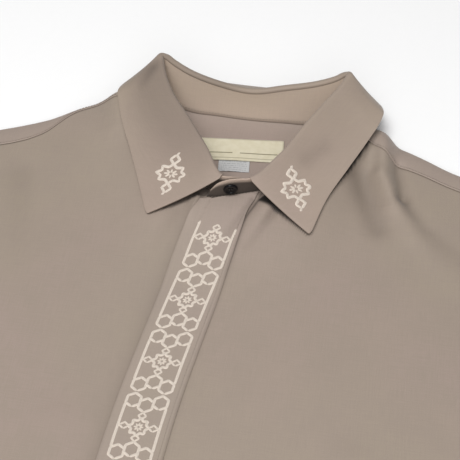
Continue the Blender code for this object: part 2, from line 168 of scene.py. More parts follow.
# Ends of the stand past the leaf, the outer one coming from +X, in mm: seam x y z, top x y z
OUTER_END = (
    (9, -88.2, 20, 4, -91.2, 40.6),
    (-5, -92.6, 19.8, -5, -92.6, 38.8),
    (-14, -95.3, 19.8, -12.5, -93.6, 34.3),
    (-20.5, -95.8, 20, -17.2, -94.4, 27),
)
INNER_END = (
    (5, -85.6, 19.8, 6, -84.6, 35),
    (-4, -89.0, 19.8, 2, -87.2, 37.8),
    (-14, -91.0, 20, -3, -89.0, 39.4),
)

# Main ridges of the fronts, in mm: start x y, end x y, height at start and end, half width
FOLDS = (
    (-114, 12, -106, -28, 12, 4.5, 13),
    (114, -2, 117, -46, 8, 8, 8),
    (117, -46, 128, -72, 8, 6, 9),
    (128, -72, 146, -98, 6, 1.5, 10),
    (-28, -100, -31, -124, 2.5, 0, 4),
    (32, -98, 15, -150, 2.2, 0, 6),
)
# Creases, troughs where the height is below 0, in mm as FOLDS
CREASES = (
    (18, -94, 2, -128, -3.0, -0.9, 3.4),
    (34, -103, 18, -134, -2.6, -0.5, 3.4),
    (26, -99, 9, -134, 1.1, 0.3, 4),
    (-26.5, -99, -31, -113, 1.4, 0.3, 1.7),
    (-31.5, -101, -35, -112, 1.0, 0.2, 1.8),
    (-44, -112, -60, -150, -1.0, -0.2, 7),
    (98, -50, 116, -94, -4.6, -2.6, 10),
    (113, -44, 127, -74, 2.0, 1.4, 6),
    (127, -30, 134, -64, -2.6, -3.0, 5.5),
    (134, -64, 152, -90, -3.0, -1.0, 6.5),
    (148, -100, 190, -150, 2.0, 0.2, 13),
    (160, -96, 205, -130, -1.6, -0.2, 9),
    (-150, -60, -128, -150, 1.5, 0.3, 20),
    (-178, -82, -160, -150, -1.3, -0.2, 14),
    (-70, -118, -86, -210, 1.2, 0, 16),
    (-272, -296, -196, -352, 3.4, 2.0, 8),
    (-196, -352, -120, -372, 2.0, 0.2, 11),
    (-284, -322, -214, -396, -2.4, -0.8, 8),
    (-280, -350, -206, -440, 3.0, 0.6, 9),
    (-262, -420, -236, -500, -1.8, -0.3, 11),
    (272, -300, 206, -350, 3.2, 2.2, 8),
    (206, -350, 140, -412, 2.2, 0.2, 12),
    (282, -330, 222, -404, -2.2, -0.8, 9),
    (276, -366, 232, -450, 2.8, 0.6, 9),
    (-236, -520, -150, -548, 2.6, 1.4, 10),
    (-150, -548, -84, -540, 1.6, 0.2, 12),
    (-228, -548, -140, -582, -2.0, -0.4, 10),
    (40, -420, 96, -500, 2.2, 1.8, 12),
    (96, -500, 118, -600, 1.8, 0.3, 15),
    (74, -430, 130, -520, -1.8, -0.3, 12),
    (240, -500, 200, -590, 2.2, 0.4, 14),
    (-186, -640, -214, -762, 2.4, 2.0, 11),
    (-160, -660, -182, -762, -1.6, -1.6, 10),
    (-96, -690, -104, -762, 1.4, 1.8, 10),
    (30, -660, 52, -762, 2.0, 1.8, 11),
    (196, -640, 182, -762, 2.6, 2.2, 12),
    (226, -660, 222, -762, -1.6, -1.4, 10),
    (110, -300, 64, -380, 1.4, 0.3, 14),
    (-96, -300, -132, -420, 1.3, 0.2, 16),
)
# Creases of the leaf, in mm as FOLDS
LEAF_CREASES = (
    (-97, -22, -84, -40, 0.6, 0.3, 2.4),
    (-89, -16, -76, -34, 0.6, 0.25, 2.4),
    (-100, -2, -92, -16, 0.5, 0.2, 3.0),
    (-84, 14, -92, -2, -0.8, -0.2, 5.0),
    (54, -60, 68, -42, -0.5, -0.4, 6.0),
    (92, 2, 100, -12, 0.3, 0.0, 4.0),
    (34, -92, 48, -112, 0.25, 0.0, 5.0),
    (-40, -90, -54, -108, 0.2, 0.0, 5.0),
)
# Creases of a sleeve, in mm as FOLDS, on the side of +X
SLEEVE_CREASES = (
    (270, -118, 340, -150, 3.0, 2.4, 8),
    (340, -150, 412, -206, 2.4, 0.4, 10),
    (284, -146, 350, -190, -1.8, -0.4, 9),
    (296, -238, 352, -250, 2.8, 1.6, 7),
    (352, -250, 398, -280, 1.6, 0.3, 9),
    (296, -92, 380, -136, 1.4, 0.3, 10),
    (402, -204, 446, -222, 1.8, 1.6, 10),
    (372, -262, 400, -290, -1.0, -0.8, 8),
)

# Embroidered band, a regular pattern on the traditional star, in mm across and down from a star.
# A half turn round the middle of the repeat gives each six-sided cell again.
BAND_REPEAT = 54.6
FIRST_STAR, BAND_STARS = -132.9, 12
STRIP_STAR = (7.0, 6.8)                  # half width and height
CELLS, CELL_RADIUS = ((-9.9, 20.8), (0, 17.6), (9.9, 20.8)), 5.7
RAIL, RAIL_END = 14.9, 18.0              # a side line's place, and its end from a star
RAIL_TOPS = (-14.0, -10.5)               # starts of the first left and right side lines
# Small four-sided rings round a star: middle, half width and height; each also on the other side of it
BAND_RINGS = ((0, 8.9, 2.9, 2.5), (10.5, 0, 3.4, 2.6))
# Star of the leaf, in mm: half width and height, then the way of its two rings, their half width and
# height, and the outer end of a ring's tail
LEAF_STAR, LEAF_RING, LEAF_TAIL = (12.6, 8.0), (12.6, 4.2, 4.2), (2.6, 18.8)
# Centre x y in mm and turn in degrees, then plan x y of one step across in the leaf's plane and y of one
# step up
LEAF_MOTIFS = {
    "right_leaf_star": (-50.9, -84.2, -8, 0.953, -0.079, 0.965),
    "left_leaf_star": (49.6, -85.7, 25, 0.926, 0.105, 0.961),
}
FINE_WIDTH, LEAF_WIDTH = 0.72, 1.05      # widths of fine lines and of the leaf's, as shares of the band's
BAND_HEIGHTS, LEAF_HEIGHTS = (0.42, 0.38), (0.5, 0.42)   # of wide lines and fine ones, in mm
LINE_STEP = 0.0012                       # between the points that carry a line onto the cloth
STAR_REACH = 0.034                       # how much of the leaf round a star its face is fitted to

# Rows of topstitching: on the stand as rows of its grid, from the free edge as a share of the strip's half
# width, and otherwise how far from the seam, fold or edge
STAND_STITCHES = {"foot": 1.1, "fold": 11.2}
STRIP_STITCHES = 0.86
YOKE_STITCHES, ARM_STITCHES, HEM_STITCHES = 0.0016, 0.0060, 0.0012
CUFF_STITCHES = 0.004                    # share of the sleeve's length before its hem
STITCH_SHARE = 0.74                      # of a stitch's pitch that shows

# Tints of the taupe, as shares of the shirt's colour
TINTS = {
    "taupe_body": (0.935, 0.935, 0.935),
    "taupe_yoke": (1.0, 0.99, 1.03),
    "taupe_placket": (0.98, 0.985, 1.01),
    # Painted light: the stand's taupe is made lighter, so that its inside looks lit from the front
    "taupe_collar_stand": (1.34, 1.31, 1.29),
    "taupe_collar_leaf": (1.08, 1.06, 1.06),
}
THREAD_TINT = (0.93, 0.92, 0.90)
# Painted shade: the near black tint that cloth in gaps, creases and shaded places is taken towards
PAINTED_SHADE_TINT = (0.06, 0.057, 0.057)          # of cloth deep in a gap
# How far painted shade takes a cloth to that tint: under the left leaf, for each mm of a trough, beside the
# strip's free and sewn edges, at the hem, on the stand at the throat and the seam, and on the leaf
PAINTED_SHADE_SHARES = {"left_gap": 0.64, "trough": 0.07, "free_edge": 0.20, "sewn_edge": 0.18, "sewn_throat": 0.36,
         "hem": 0.27, "throat": 0.90, "seam": 0.67, "leaf_side": 0.08, "leaf_fold": 0.04,
         "leaf_back": 0.03, "leaf_left_back": 0.17, "leaf_trough": 0.28}

# Lights: name, way to it, distance from the collar, size and power
LIGHTS = (("key", (-0.12, -0.30, 1.0), 2.2, 1.1, 38), ("fill", (0.1, -0.8, 0.7), 2.4, 1.8, 16))
LIT_PLACE, SKY = (0, -0.09, 0.03), 0.24  # where they point, from the neck point, and the world's strength
FLOOR_HALF, FLOOR_Z = 4.0, -0.4 * MM
# The photo's camera: degrees round from the hem, up, and turned on its own axis; place from the neck point
CAMERA_ANGLES, CAMERA_PLACE, LENS = (10, 53, 1.2), (0.09672, -0.65623, 0.73439), 90.16


def ramp(value, low, high):
    """0 below low, 1 above high, smooth between."""
    t = np.clip((value - low) / (high - low), 0.0, 1.0)
    return t * t * (3.0 - 2.0 * t)


def lengths(line):
    """Length along a line at each of its points."""
    return np.concatenate([[0], np.cumsum(np.linalg.norm(np.diff(line, axis=0), axis=1))])


def unit(vectors):
    """Vectors of length 1 the same way."""
    return vectors / np.linalg.norm(vectors, axis=-1, keepdims=True)


def smooth_rows(rows, steps):
    """Smooth curve through the rows, read at each row and at steps - 1 places between two rows."""
    knots = lengths(rows)
    slopes = np.gradient(rows, knots, axis=0)
    places = np.arange((len(rows) - 1) * steps + 1) / steps
    first = np.minimum(places.astype(int), len(rows) - 2)
    t = (places - first)[:, None]
    reach = np.diff(knots)[first][:, None]
    start, end = rows[first], rows[first + 1]
    return ((1 + 2 * t) * (1 - t) ** 2 * start + t * (1 - t) ** 2 * reach * slopes[first]
            + t * t * (3 - 2 * t) * end - t * t * (1 - t) * reach * slopes[first + 1])


FINE = 8                      # places read between two rows of the collar
STAND_ROWS = np.vstack([INNER_END, np.array(COLLAR, float)[:, :6], OUTER_END]) * MM
STAND_LINES = smooth_rows(STAND_ROWS, FINE)
# Neck seam from the left point round the back to the strip, without the end that turns under it
SEAM = smooth_rows(STAND_ROWS[len(INNER_END):-2, :3], 12)
BACK_NECK = SEAM[SEAM[:, 1] > 4 * MM]
FRONT_NECK = SEAM[SEAM[:, 1] < 0]
FRONT_NECK = FRONT_NECK[np.argsort(FRONT_NECK[:, 0])]
PLACKET_MIDDLE = smooth_rows(np.array(PLACKET_LINE, float) * MM, 8)[::-1]
BAND_MIDDLE = smooth_rows(np.array(BAND_LINE, float) * MM, 8)[::-1]
SHOULDER_LINES = smooth_rows(np.array(SHOULDERS, float) * MM, 6)


def shoulder_line(x, columns):
    """y of a line of SHOULDERS, from its column on the left (-X) and its column on the right."""
    left, right = (np.interp(np.abs(x), SHOULDER_LINES[:, 0], SHOULDER_LINES[:, k]) for k in columns)
    return np.where(x < 0, left, right)


def shoulder_fold(x):
    return shoulder_line(x, (1, 3))


def front_seam(x):
    """y of the seam between yoke and front."""
    return shoulder_line(x, (2, 4))


def armhole(y):
    """Half width of the body at y, from shoulder to hem."""
    down = np.clip((ARMHOLE_TOP - y) / (ARMHOLE_TOP - UNDERARM), 0.0, 1.0)
    return HALF_SHOULDER + (HALF_CHEST - HALF_SHOULDER) * down ** 2


def placket_middle(y):
    """x of the strip's middle line."""
    return np.interp(y, PLACKET_MIDDLE[:, 0], PLACKET_MIDDLE[:, 1])


def ridges(x, y, table):
    """Height of each ridge of a table at x, y: round across, and fading past its ends."""
    heights = []
    for x0, y0, x1, y1, start, end, half in np.array(table, float) * MM:
        length = math.hypot(x1 - x0, y1 - y0)
        share = np.clip(((x - x0) * (x1 - x0) + (y - y0) * (y1 - y0)) / length ** 2, 0, 1)
        away = np.hypot(x - x0 - share * (x1 - x0), y - y0 - share * (y1 - y0))
        heights.append((start + (end - start) * share) * np.exp(-(away / half) ** 2))
    return np.array(heights)


def cloth_height(x, y):
    """The fronts over the table: air in the body, rounded down to the side seam, then the collar's lift,
    which fades as exp(-d2) with the distance from the neck seam, then ridges, creases and a slack wave."""
    depth = bpy.context.scene.shirt_sizes.crease_depth
    edge = FRONT_EDGE + (ARM_EDGE - FRONT_EDGE) * ramp(y, UNDERARM - 0.03, UNDERARM + 0.03)
    inside = np.clip((armhole(y) - np.abs(x)) / SIDE_ROUND, 0, 1)
    soft = 1 - ramp(np.abs(x) / armhole(y), 0.7, 1.0)
    up = HEM_AIR + (1 - HEM_AIR) * ramp(y, -BODY_LENGTH, -BODY_LENGTH + 0.10)
    low = edge + (FRONT_LOW - edge) * (0.4 * (1 - (1 - inside) ** 2) + 0.6 * soft) * up
    away = np.hypot(x[..., None] - SEAM[:, 0], y[..., None] - SEAM[:, 1])
    nearest = away.argmin(axis=-1)
    side = np.where(x < 0, MOUND["left"], MOUND["right"])
    reach = MOUND["throat"] + (side - MOUND["throat"]) * ramp(np.abs(x), 0.05, 0.11)
    lift = (SEAM[nearest, 2] - low) * np.exp(-(away.min(axis=-1) / reach) ** 2)
    slack = SLACK * (np.sin(x * 31 + 2.2 * np.sin(y * 13)) + np.sin(y * 23 + 1.7 * np.sin(x * 17)))
    quiet = inside * ramp(-y, 0.10, 0.16)
    folds = ridges(x, y, FOLDS).max(axis=0)
    return low + lift + folds + depth * (ridges(x, y, CREASES).sum(axis=0) * inside + slack * quiet)


def placket_height(x, y):
    """Face of the strip: over the fronts by its rise, rounded down at the free edge and pressed down to
    the sewn one."""
    across = (x - placket_middle(y)) / (PLACKET_WIDTH / 2)
    free = 0.7 * MM * ramp(-across, 0.94, 1.0)
    sewn = 1.3 * MM * ramp(across, 0.93, 1.0)
    return cloth_height(x, y) + PLACKET_RISE - free - sewn


def front_height(name, x, y):
    """A front: its cloth, lower where it runs on under the yoke, and thicker over its hem."""
    under_yoke = 0.7 * MM * ramp(y - front_seam(x), -0.0012, 0.0002) * (np.abs(x) > NECK_HALF + MM)
    hem = HEM_RISE * (1 - ramp(y + BODY_LENGTH, HEM_DEPTH["body"], HEM_DEPTH["body"] + 0.0008))
    under_strip = 0.0
    if name == "right_front":
        under_strip = 0.6 * MM * ramp(x - placket_middle(y) + PLACKET_WIDTH / 2, 0, 0.004)
    return cloth_height(x, y) - under_yoke + hem - under_strip


def quads_of(rows, columns, wrap=False):
    """Corners of the quads of a grid of points; wrap joins its last column to its first."""
    index = np.arange(rows * columns).reshape(rows, columns)
    if wrap:
        index = np.concatenate([index, index[:, :1]], axis=1)
    corners = (index[:-1, :-1], index[:-1, 1:], index[1:, 1:], index[1:, :-1])
    return np.stack(corners, axis=-1).reshape(-1, 4)


def normals_of(points):
    """Unit normals of a grid of points, from its two directions."""
    return unit(np.cross(np.gradient(points, axis=1), np.gradient(points, axis=0)))


def flat_size(points):
    """Width, length and area of a grid of points laid out flat."""
    across, along = np.diff(points, axis=1), np.diff(points, axis=0)
    width = np.linalg.norm(across, axis=-1).sum(axis=1).max()
    length = np.linalg.norm(along, axis=-1).sum(axis=0).max()
    area = np.linalg.norm(np.cross(across[:-1], along[:, :-1]), axis=-1)
    return float(width), float(length), area


def shade_under_leaf(points):
    """Painted shade under the collar's leaf: 0 outside it and at its edge, full well inside, and less full
    on the left. A point is inside where the corners of the leaf's rim, seen from it, turn once round, and
    its way to the rim is the least way to any of the rim's sides."""
    leaf = leaf_points()[len(FOLD_SECTION):, :, :2]
    rim = np.concatenate([leaf[:-1, 0], leaf[-1, :-1], leaf[:0:-1, -1], leaf[0, :0:-1]])
    flat = points[..., :2].reshape(-1, 2)
    near = np.where((flat[:, 1] > rim[:, 1].min()) & (np.abs(flat[:, 0]) < 0.125))[0]
    corner = rim - flat[near, None]
    onward = np.roll(corner, -1, axis=1)
    side = onward - corner
    turn = np.arctan2(corner[..., 0] * onward[..., 1] - corner[..., 1] * onward[..., 0],
                      (corner * onward).sum(axis=-1)).sum(axis=1)
    share = np.clip(-(corner * side).sum(axis=-1) / (side ** 2).sum(axis=-1), 0, 1)
    to_rim = np.linalg.norm(corner + share[..., None] * side, axis=-1).min(axis=1)
    depth = np.zeros(len(flat))
    depth[near] = (np.abs(turn) > math.pi) * ramp(to_rim, 0.0006, 0.0024)
    depth *= np.where(flat[:, 0] < 0, PAINTED_SHADE_SHARES["left_gap"], 1.0)
    return depth.reshape(points.shape[:-1])


def shade_beside_strip(name, points):
    """Soft painted shade on a front along the strip's edge, fading as exp(-d) with the way from it, and
    along the step of its hem; the sewn edge is deeper near the throat."""
    side = -1 if name == "right_front" else 1
    x, y = points[..., 0], points[..., 1]
    away = side * (x - placket_middle(y)) - PLACKET_WIDTH / 2
    reach, depth = 0.006, PAINTED_SHADE_SHARES["free_edge"]
    if side > 0:
        reach, depth = 0.0012, PAINTED_SHADE_SHARES["sewn_edge"] + PAINTED_SHADE_SHARES["sewn_throat"] * ramp(y, -0.20, -0.14)
    from_hem = np.abs(y + BODY_LENGTH - HEM_DEPTH["body"] - 0.5 * MM)
    return np.maximum(depth * np.exp(-np.abs(away) / reach), PAINTED_SHADE_SHARES["hem"] * np.exp(-from_hem / (0.8 * MM)))


def sunk(points, table):
    """How far the creases of a table sink a cloth, in mm."""
    return -ridges(points[..., 0], points[..., 1], table).sum(axis=0) / MM


def with_troughs(shade, points):
    """Painted shade of a front or of the strip, deepened in the troughs of its creases."""
    return np.clip(shade + PAINTED_SHADE_SHARES["trough"] * np.clip(sunk(points, CREASES), 0, 4), 0, 1)


def stand_shade(points, up):
    """Painted shade of the stand by share of the way up: at the throat nearly up to the fold, and at its
    foot.
    """
    throat = ramp(-points[..., 1], 0.078, 0.086) * (1 - ramp(up, 0.78, 0.92))
    return np.maximum(PAINTED_SHADE_SHARES["throat"] * throat, PAINTED_SHADE_SHARES["seam"] * (1 - ramp(up, 0.02, 0.10)))


def leaf_shade(points, down):
    """Painted shade of the leaf by share of the way down: over its left side, fading from the fold and
    behind its front edges, and in the troughs of its creases."""
    left = ramp(-points[..., 0], 0, 0.03) * (1 - ramp(points[..., 1], 0.012, 0.036))
    behind = (PAINTED_SHADE_SHARES["leaf_back"] + PAINTED_SHADE_SHARES["leaf_left_back"] * left) * ramp(points[..., 1], -0.10, -0.04)
    near_fold = 1 - ramp(down, 0.40, 1.05)
    return (PAINTED_SHADE_SHARES["leaf_side"] * left + (PAINTED_SHADE_SHARES["leaf_fold"] + behind) * near_fold
            + PAINTED_SHADE_SHARES["leaf_trough"] * np.clip(sunk(points, LEAF_CREASES), 0, 1))


def add_piece(name, points, quads, uv, finish, wall=0.0, bevel=0.0, painted_shade=None):
    """Mesh object of points round the neck point, with its map, its finish and its wall. Painted shade is 1
    where the cloth lies in a deep gap and 0 in the open, and is kept as an attribute of its points."""
    used, quads = np.unique(quads, return_inverse=True)
    quads = quads.reshape(-1, 4)
    mesh = bpy.data.meshes.new(name)
    mesh.from_pydata((points.reshape(-1, 3)[used] + NECK_POINT).tolist(), [], quads.tolist())
    layer = mesh.uv_layers.new(name="Cloth")
    layer.uv.foreach_set("vector", uv.reshape(-1, 2)[used][quads.ravel()].astype(np.float32).ravel())
    if painted_shade is not None:
        mesh.attributes.new("PaintedShade", "FLOAT", "POINT").data.foreach_set(
            "value", painted_shade.ravel()[used].astype(np.float32))
    mesh.shade_smooth()
    mesh.materials.append(finish)
    piece = bpy.data.objects.new(name, mesh)
    bpy.context.scene.collection.objects.link(piece)
    if wall:
        shell = piece.modifiers.new("Wall", "SOLIDIFY")
        shell.thickness, shell.offset = wall, 0.0
        shell.use_even_offset = False
    if bevel:
        rim = piece.modifiers.new("Rim", "BEVEL")
        rim.width, rim.segments, rim.limit_method, rim.angle_limit = bevel, 2, "ANGLE", math.radians(50)
        rim.harden_normals = False
    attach(piece, "root")
    return piece


def add_cloth(name, node, points, finish, wall, uv=None, keep=None, bevel=0.0, wrap=False,
              painted_shade=None):
    """Sheet of cloth on a grid of points that stands for a solid of the frame. Its map is its plan in
    metres, unless one is given, and keep says which of its quads are cloth."""
    rows, columns = points.shape[:2]
    quads = quads_of(rows, columns, wrap)
    width, length, area = flat_size(np.concatenate([points, points[:, :1]], axis=1) if wrap else points)
    if keep is not None:
        quads, area = quads[keep.ravel()], area[keep]
    if uv is None:
        uv = points[..., :2]
    piece = add_piece(name, points, quads, uv, finish, wall, bevel, painted_shade=painted_shade)
    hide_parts(node)


def lengths_map(points):
    """Map of a grid by its lengths from the middle across and from the first row along."""
    across = np.concatenate([np.zeros((len(points), 1)),
                             np.cumsum(np.linalg.norm(np.diff(points, axis=1), axis=-1), axis=1)], axis=1)
    along = np.concatenate([np.zeros((1, points.shape[1])),
                            np.cumsum(np.linalg.norm(np.diff(points, axis=0), axis=-1), axis=0)])
    return np.dstack([across - across[:, -1:] / 2, along])


def patch(bottom, top, inner, outer, share):
    """Points between four edge lines: columns as along the top, rows at share of the way up."""
    u = ((top[:, 0] - top[0, 0]) / (top[-1, 0] - top[0, 0]))[None, :, None]
    v = share[:, None, None]
    return ((1 - u) * inner[:, None] + u * outer[:, None] + (1 - v) * bottom[None] + v * top[None]
            - (1 - u) * (1 - v) * inner[0] - u * (1 - v) * outer[0]
            - (1 - u) * v * inner[-1] - u * v * outer[-1])


def in_neck(x):
    """Whether x lies inside the neck, clear of its two shoulder points."""
    return np.abs(x) < NECK_HALF - 0.001 * MM


def front_points(name, side):
    """Front from its edge under the placket to the side seam, between the hem and the neck and yoke
    seams; it runs on a little under the yoke."""
    rows, hem_rows, neck_columns, shoulder_columns = 180, 19, 93, 72
    front_length = 0.70
    share = np.sort(np.concatenate([1 - np.linspace(1, 0, rows) ** 1.7,
                                    np.linspace(0.7, 1.3, hem_rows) * HEM_DEPTH["body"] / front_length]))
    edge = UNDERLAP[name]
    throat_x = float(placket_middle(THROAT_Y)) + edge
    outwards = np.linspace(0, 1, shoulder_columns + 1)[1:] ** 1.25
    top_x = np.concatenate([np.linspace(throat_x, side * NECK_HALF, neck_columns),
                            side * (NECK_HALF + (HALF_SHOULDER - NECK_HALF) * outwards)])
    neck_y = np.interp(top_x, FRONT_NECK[:, 0], FRONT_NECK[:, 1])
    lap = SEAM_LAP * ramp(np.abs(top_x), NECK_HALF, NECK_HALF + 0.006)
    top_y = np.where(in_neck(top_x), neck_y, front_seam(top_x) + lap)
    top = np.stack([top_x, top_y], axis=-1)
    inner_y = -BODY_LENGTH + share * (top_y[0] + BODY_LENGTH)
    inner = np.stack([placket_middle(inner_y) + edge, inner_y], axis=-1)
    outer_y = -BODY_LENGTH + share * (top_y[-1] + BODY_LENGTH)
    outer = np.stack([side * armhole(outer_y), outer_y], axis=-1)
    hem_x = inner[0, 0] + (top_x - top_x[0]) / (top_x[-1] - top_x[0]) * (outer[0, 0] - inner[0, 0])
    hem = np.stack([hem_x, np.full_like(hem_x, -BODY_LENGTH)], axis=-1)
    inner[-1] = top[0]
    flat = patch(hem, top, inner, outer, share)
    points = np.dstack([flat, front_height(name, flat[..., 0], flat[..., 1])])
    return points[:, ::side]


def back_points():
    """Flat back panel between the armholes, from the hem to the yoke, half its wall over the table."""
    low = bpy.context.scene.shirt_sizes.wall / 2
    y = np.concatenate([np.linspace(-BODY_LENGTH, UNDERARM, 60)[:-1],
                        np.linspace(UNDERARM, BACK_SEAM + SEAM_LAP, 40)])[:, None]
    u = np.linspace(-1, 1, 61)[None, :]
    return np.dstack([u * armhole(y), y + 0 * u, low + 0 * u * y])


def yoke_points():
    """Yoke: flat from the back seam, up to the neck seam in the middle, and over the shoulders to the
    front seam at the sides. Also tells which of its quads are cloth."""
    outer = NECK_HALF + (HALF_SHOULDER - NECK_HALF) * np.linspace(0, 1, 61)[1:] ** 1.25
    x = np.concatenate([-outer[::-1], np.linspace(-NECK_HALF, NECK_HALF, 91), outer])
    middle = in_neck(x)
    low = bpy.context.scene.shirt_sizes.wall / 2
    seam_y = front_seam(x)
    top_z = cloth_height(x, seam_y)
    turn_y = np.where(middle, np.interp(x, BACK_NECK[:, 0], BACK_NECK[:, 1]), shoulder_fold(x))
    out = ramp(np.abs(x), NECK_HALF, NECK_EASE)
    turn_z = np.where(middle, np.interp(x, BACK_NECK[:, 0], BACK_NECK[:, 2]),
                      low + (top_z - low) * (0.89 - 0.39 * out))
    turn = NECK_TURN + (SHOULDER_TURN - NECK_TURN) * out
    # It turns up through 60 degrees behind the neck and 90 at the shoulders
    last = np.radians(60 + 30 * ramp(np.abs(x), 0.05, NECK_HALF))
    start = turn_y - turn
    rows = [(x, BACK_SEAM + (start - BACK_SEAM) * share, low + 0 * x) for share in np.linspace(0, 0.95, 24)]
    for angle in np.linspace(0, 1, 20)[:, None] * last:
        rows.append((x, start + turn * np.sin(angle) / np.sin(last),
                     low + (turn_z - low) * (1 - np.cos(angle)) / (1 - np.cos(last))))
    turn_row = len(rows) - 1
    for angle in np.radians(np.linspace(0, 90, 22))[1:]:
        y = turn_y - (turn_y - seam_y) * (1 - math.cos(angle))
        z = turn_z + (cloth_height(x, y) - turn_z) * math.sin(angle)
        rows.append((x, y, z + 0.35 * MM * ramp(math.sin(angle), 0.5, 1.0)))
    points = np.array(rows).transpose(0, 2, 1)
    open_neck = (np.abs(x[:-1] + x[1:]) / 2 < NECK_HALF)[None, :]
    return points, ~(open_neck & (np.arange(len(rows) - 1) >= turn_row)[:, None])


def placket_points():
    """Strip over both front edges; its throat end slants, and tucks under the stand."""
    share = np.linspace(1, 0, 240) ** 1.4
    y = (-BODY_LENGTH + (1 - share) * (THROAT_Y + BODY_LENGTH))[:, None]
    u = np.concatenate([[-1, -0.985, -0.96], np.linspace(-0.92, 0.92, 35), [0.96, 0.985, 1]])[None, :]
    x = placket_middle(y) + u * PLACKET_WIDTH / 2
    slant = THROAT_SLANT * ramp(y, THROAT_Y - 0.06, THROAT_Y)
    y = y + slant * u * PLACKET_WIDTH / 2
    return np.dstack([x, y, placket_height(x, y)])


def outward(line):
    """Flat unit vectors away from the neck, along a line round it from the left point to the right."""
    along = np.gradient(line, axis=0)
    return unit(np.stack([-along[:, 1], along[:, 0], 0 * along[:, 0]], axis=-1))


def stand_points():
    """Stand: straight from the neck seam to the fold, moved out by 0.9 mm sin(pi t) at share t."""
    seam, top = STAND_LINES[:, :3], STAND_LINES[:, 3:]
    share = np.linspace(0, 1, 14)[:, None, None]
    return seam + (top - seam) * share + outward(top) * np.sin(math.pi * share) * 0.9 * MM


def leaf_points():
    """Leaf: the fold's section carried round the collar, then the fall to the free edge, bowed a little
    along its length and more at the two front edges."""
    fold = STAND_LINES[FINE * len(INNER_END):-FINE * len(OUTER_END), 3:]
    edge = smooth_rows(np.array(COLLAR, float)[:, 6:] * MM, FINE)
    out, up = outward(fold), np.array((0, 0, 1.0))
    roll = [fold + out * x * MM + up * z * MM for x, z in FOLD_SECTION]
    count = np.arange(len(fold)) * 2 / FINE
    front = np.exp(-np.minimum(count, count[::-1]) / 1.5)[:, None]
    bow = (front * np.array(FRONT_BOW) - (1 - front) * up * LEAF_BOW) * MM
    bow[len(bow) // 2:, 0] *= -1
    fall = [roll[-1] + (edge - roll[-1]) * share + bow * math.sin(math.pi * share ** 0.85)
            for share in np.linspace(0, 1, 33)[1:]]
    fall = np.array(fall)
    # The two points are blunt: each corner is drawn in towards its neighbours
    for end, next_ in ((0, 1), (-1, -2)):
        fall[-1, end] += 0.45 * (fall[-2, end] - fall[-1, end]) + 0.16 * (fall[-1, next_] - fall[-1, end])
    fall[..., 2] += ridges(fall[..., 0], fall[..., 1], LEAF_CREASES).sum(axis=0)
    return np.concatenate([roll, fall])


def sleeve_shares():
    """Rows of a sleeve as shares of its length, from inside the armhole to the cuff, closer at the hem."""
    rows = np.concatenate([np.linspace(0, 1, 100), SLEEVE_HEM + np.linspace(-0.012, 0.012, 12)])
    return np.concatenate([[-SLEEVE_LAP], np.sort(rows)])[:, None]


def sleeve_points(side):
    """Flattened tube: a ring of two flat runs and two round ends, carried from the armhole to the cuff,
    and pinched where it goes in under the body's edge."""
    radius = SLEEVE_HEIGHT / 2
    turn = np.radians(np.linspace(-90, 90, 9))
    end, flat = radius / SLEEVE_WIDTH * (1 - np.cos(turn)), np.linspace(0.012, 0.988, 60)
    across = np.concatenate([end, flat, 1 - end, flat[::-1]])
    height = np.concatenate([radius * np.sin(turn), np.full(len(flat), radius),
                             radius * np.sin(turn[::-1]), np.full(len(flat), -radius)])
    share = sleeve_shares()
    arm_y = SHOULDER_TIP + (UNDERARM - SHOULDER_TIP) * across
    arm = np.stack([armhole(arm_y), arm_y], axis=-1)
    cuff = np.stack([HALF_SHOULDER + SLEEVE_TOP * math.cos(SLEEVE_DROP) + CUFF[0] * across,
                     SHOULDER_TIP - SLEEVE_TOP * math.sin(SLEEVE_DROP) + CUFF[1] * across], axis=-1)
    plan = arm + (cuff - arm) * share[..., None]
    pinch = SLEEVE_PINCH + (1 - SLEEVE_PINCH) * ramp(share, -0.01, 0.06)
    wall = bpy.context.scene.shirt_sizes.wall / 2
    z = wall + radius * 0.95 + height * pinch
    top = (height > 0.9 * radius) * ramp(share, 0.0, 0.05) * np.sin(math.pi * np.clip(across, 0, 1))
    table = np.array(SLEEVE_CREASES, float)
    hem = HEM_RISE * ramp(share, SLEEVE_HEM, SLEEVE_HEM + 0.004)
    depth = bpy.context.scene.shirt_sizes.crease_depth
    z = z + top * (ridges(plan[..., 0], plan[..., 1], table).sum(axis=0) * depth + hem)
    points = np.dstack([plan[..., 0] * side, plan[..., 1], z])
    return points[:, ::-side]


def label_points(size, middle, lift):
    """Small woven patch on the inside of the yoke: turned a little, and waved along its width."""
    u, v = np.meshgrid(np.linspace(-0.5, 0.5, 41) * size[0], np.linspace(-0.5, 0.5, 15) * size[1])
    cos, sin = math.cos(LABEL_TURN), math.sin(LABEL_TURN)
    rise = lift + LABEL_WAVE * np.cos(u / size[0] * math.pi * 2.3 + 0.7) * (0.6 - v / size[1])
    points = np.dstack([middle[0] + u * cos - v * sin, middle[1] + u * sin + v * cos, rise])
    return points, np.dstack([u, v])


class Term:
    """A shader value that Python's own signs work with."""

    def __init__(self, finish, socket):
        self.finish, self.socket = finish, socket

    def math(self, operation, other=None, swap=False):
        """A Math node on this value and, where one is given, another; swap puts the other first."""
        pair = [self] if other is None else [other, self] if swap else [self, other]
        return self.finish.node("ShaderNodeMath", {"operation": operation}, dict(enumerate(pair)))

    def __add__(self, other):
        return self.math("ADD", other)

    def __sub__(self, other):
        return self.math("SUBTRACT", other)

    def __rsub__(self, other):
        return self.math("SUBTRACT", other, swap=True)

    def __mul__(self, other):
        return self.math("MULTIPLY", other)

    def __truediv__(self, other):
        return self.math("DIVIDE", other)

    __radd__, __rmul__ = __add__, __mul__


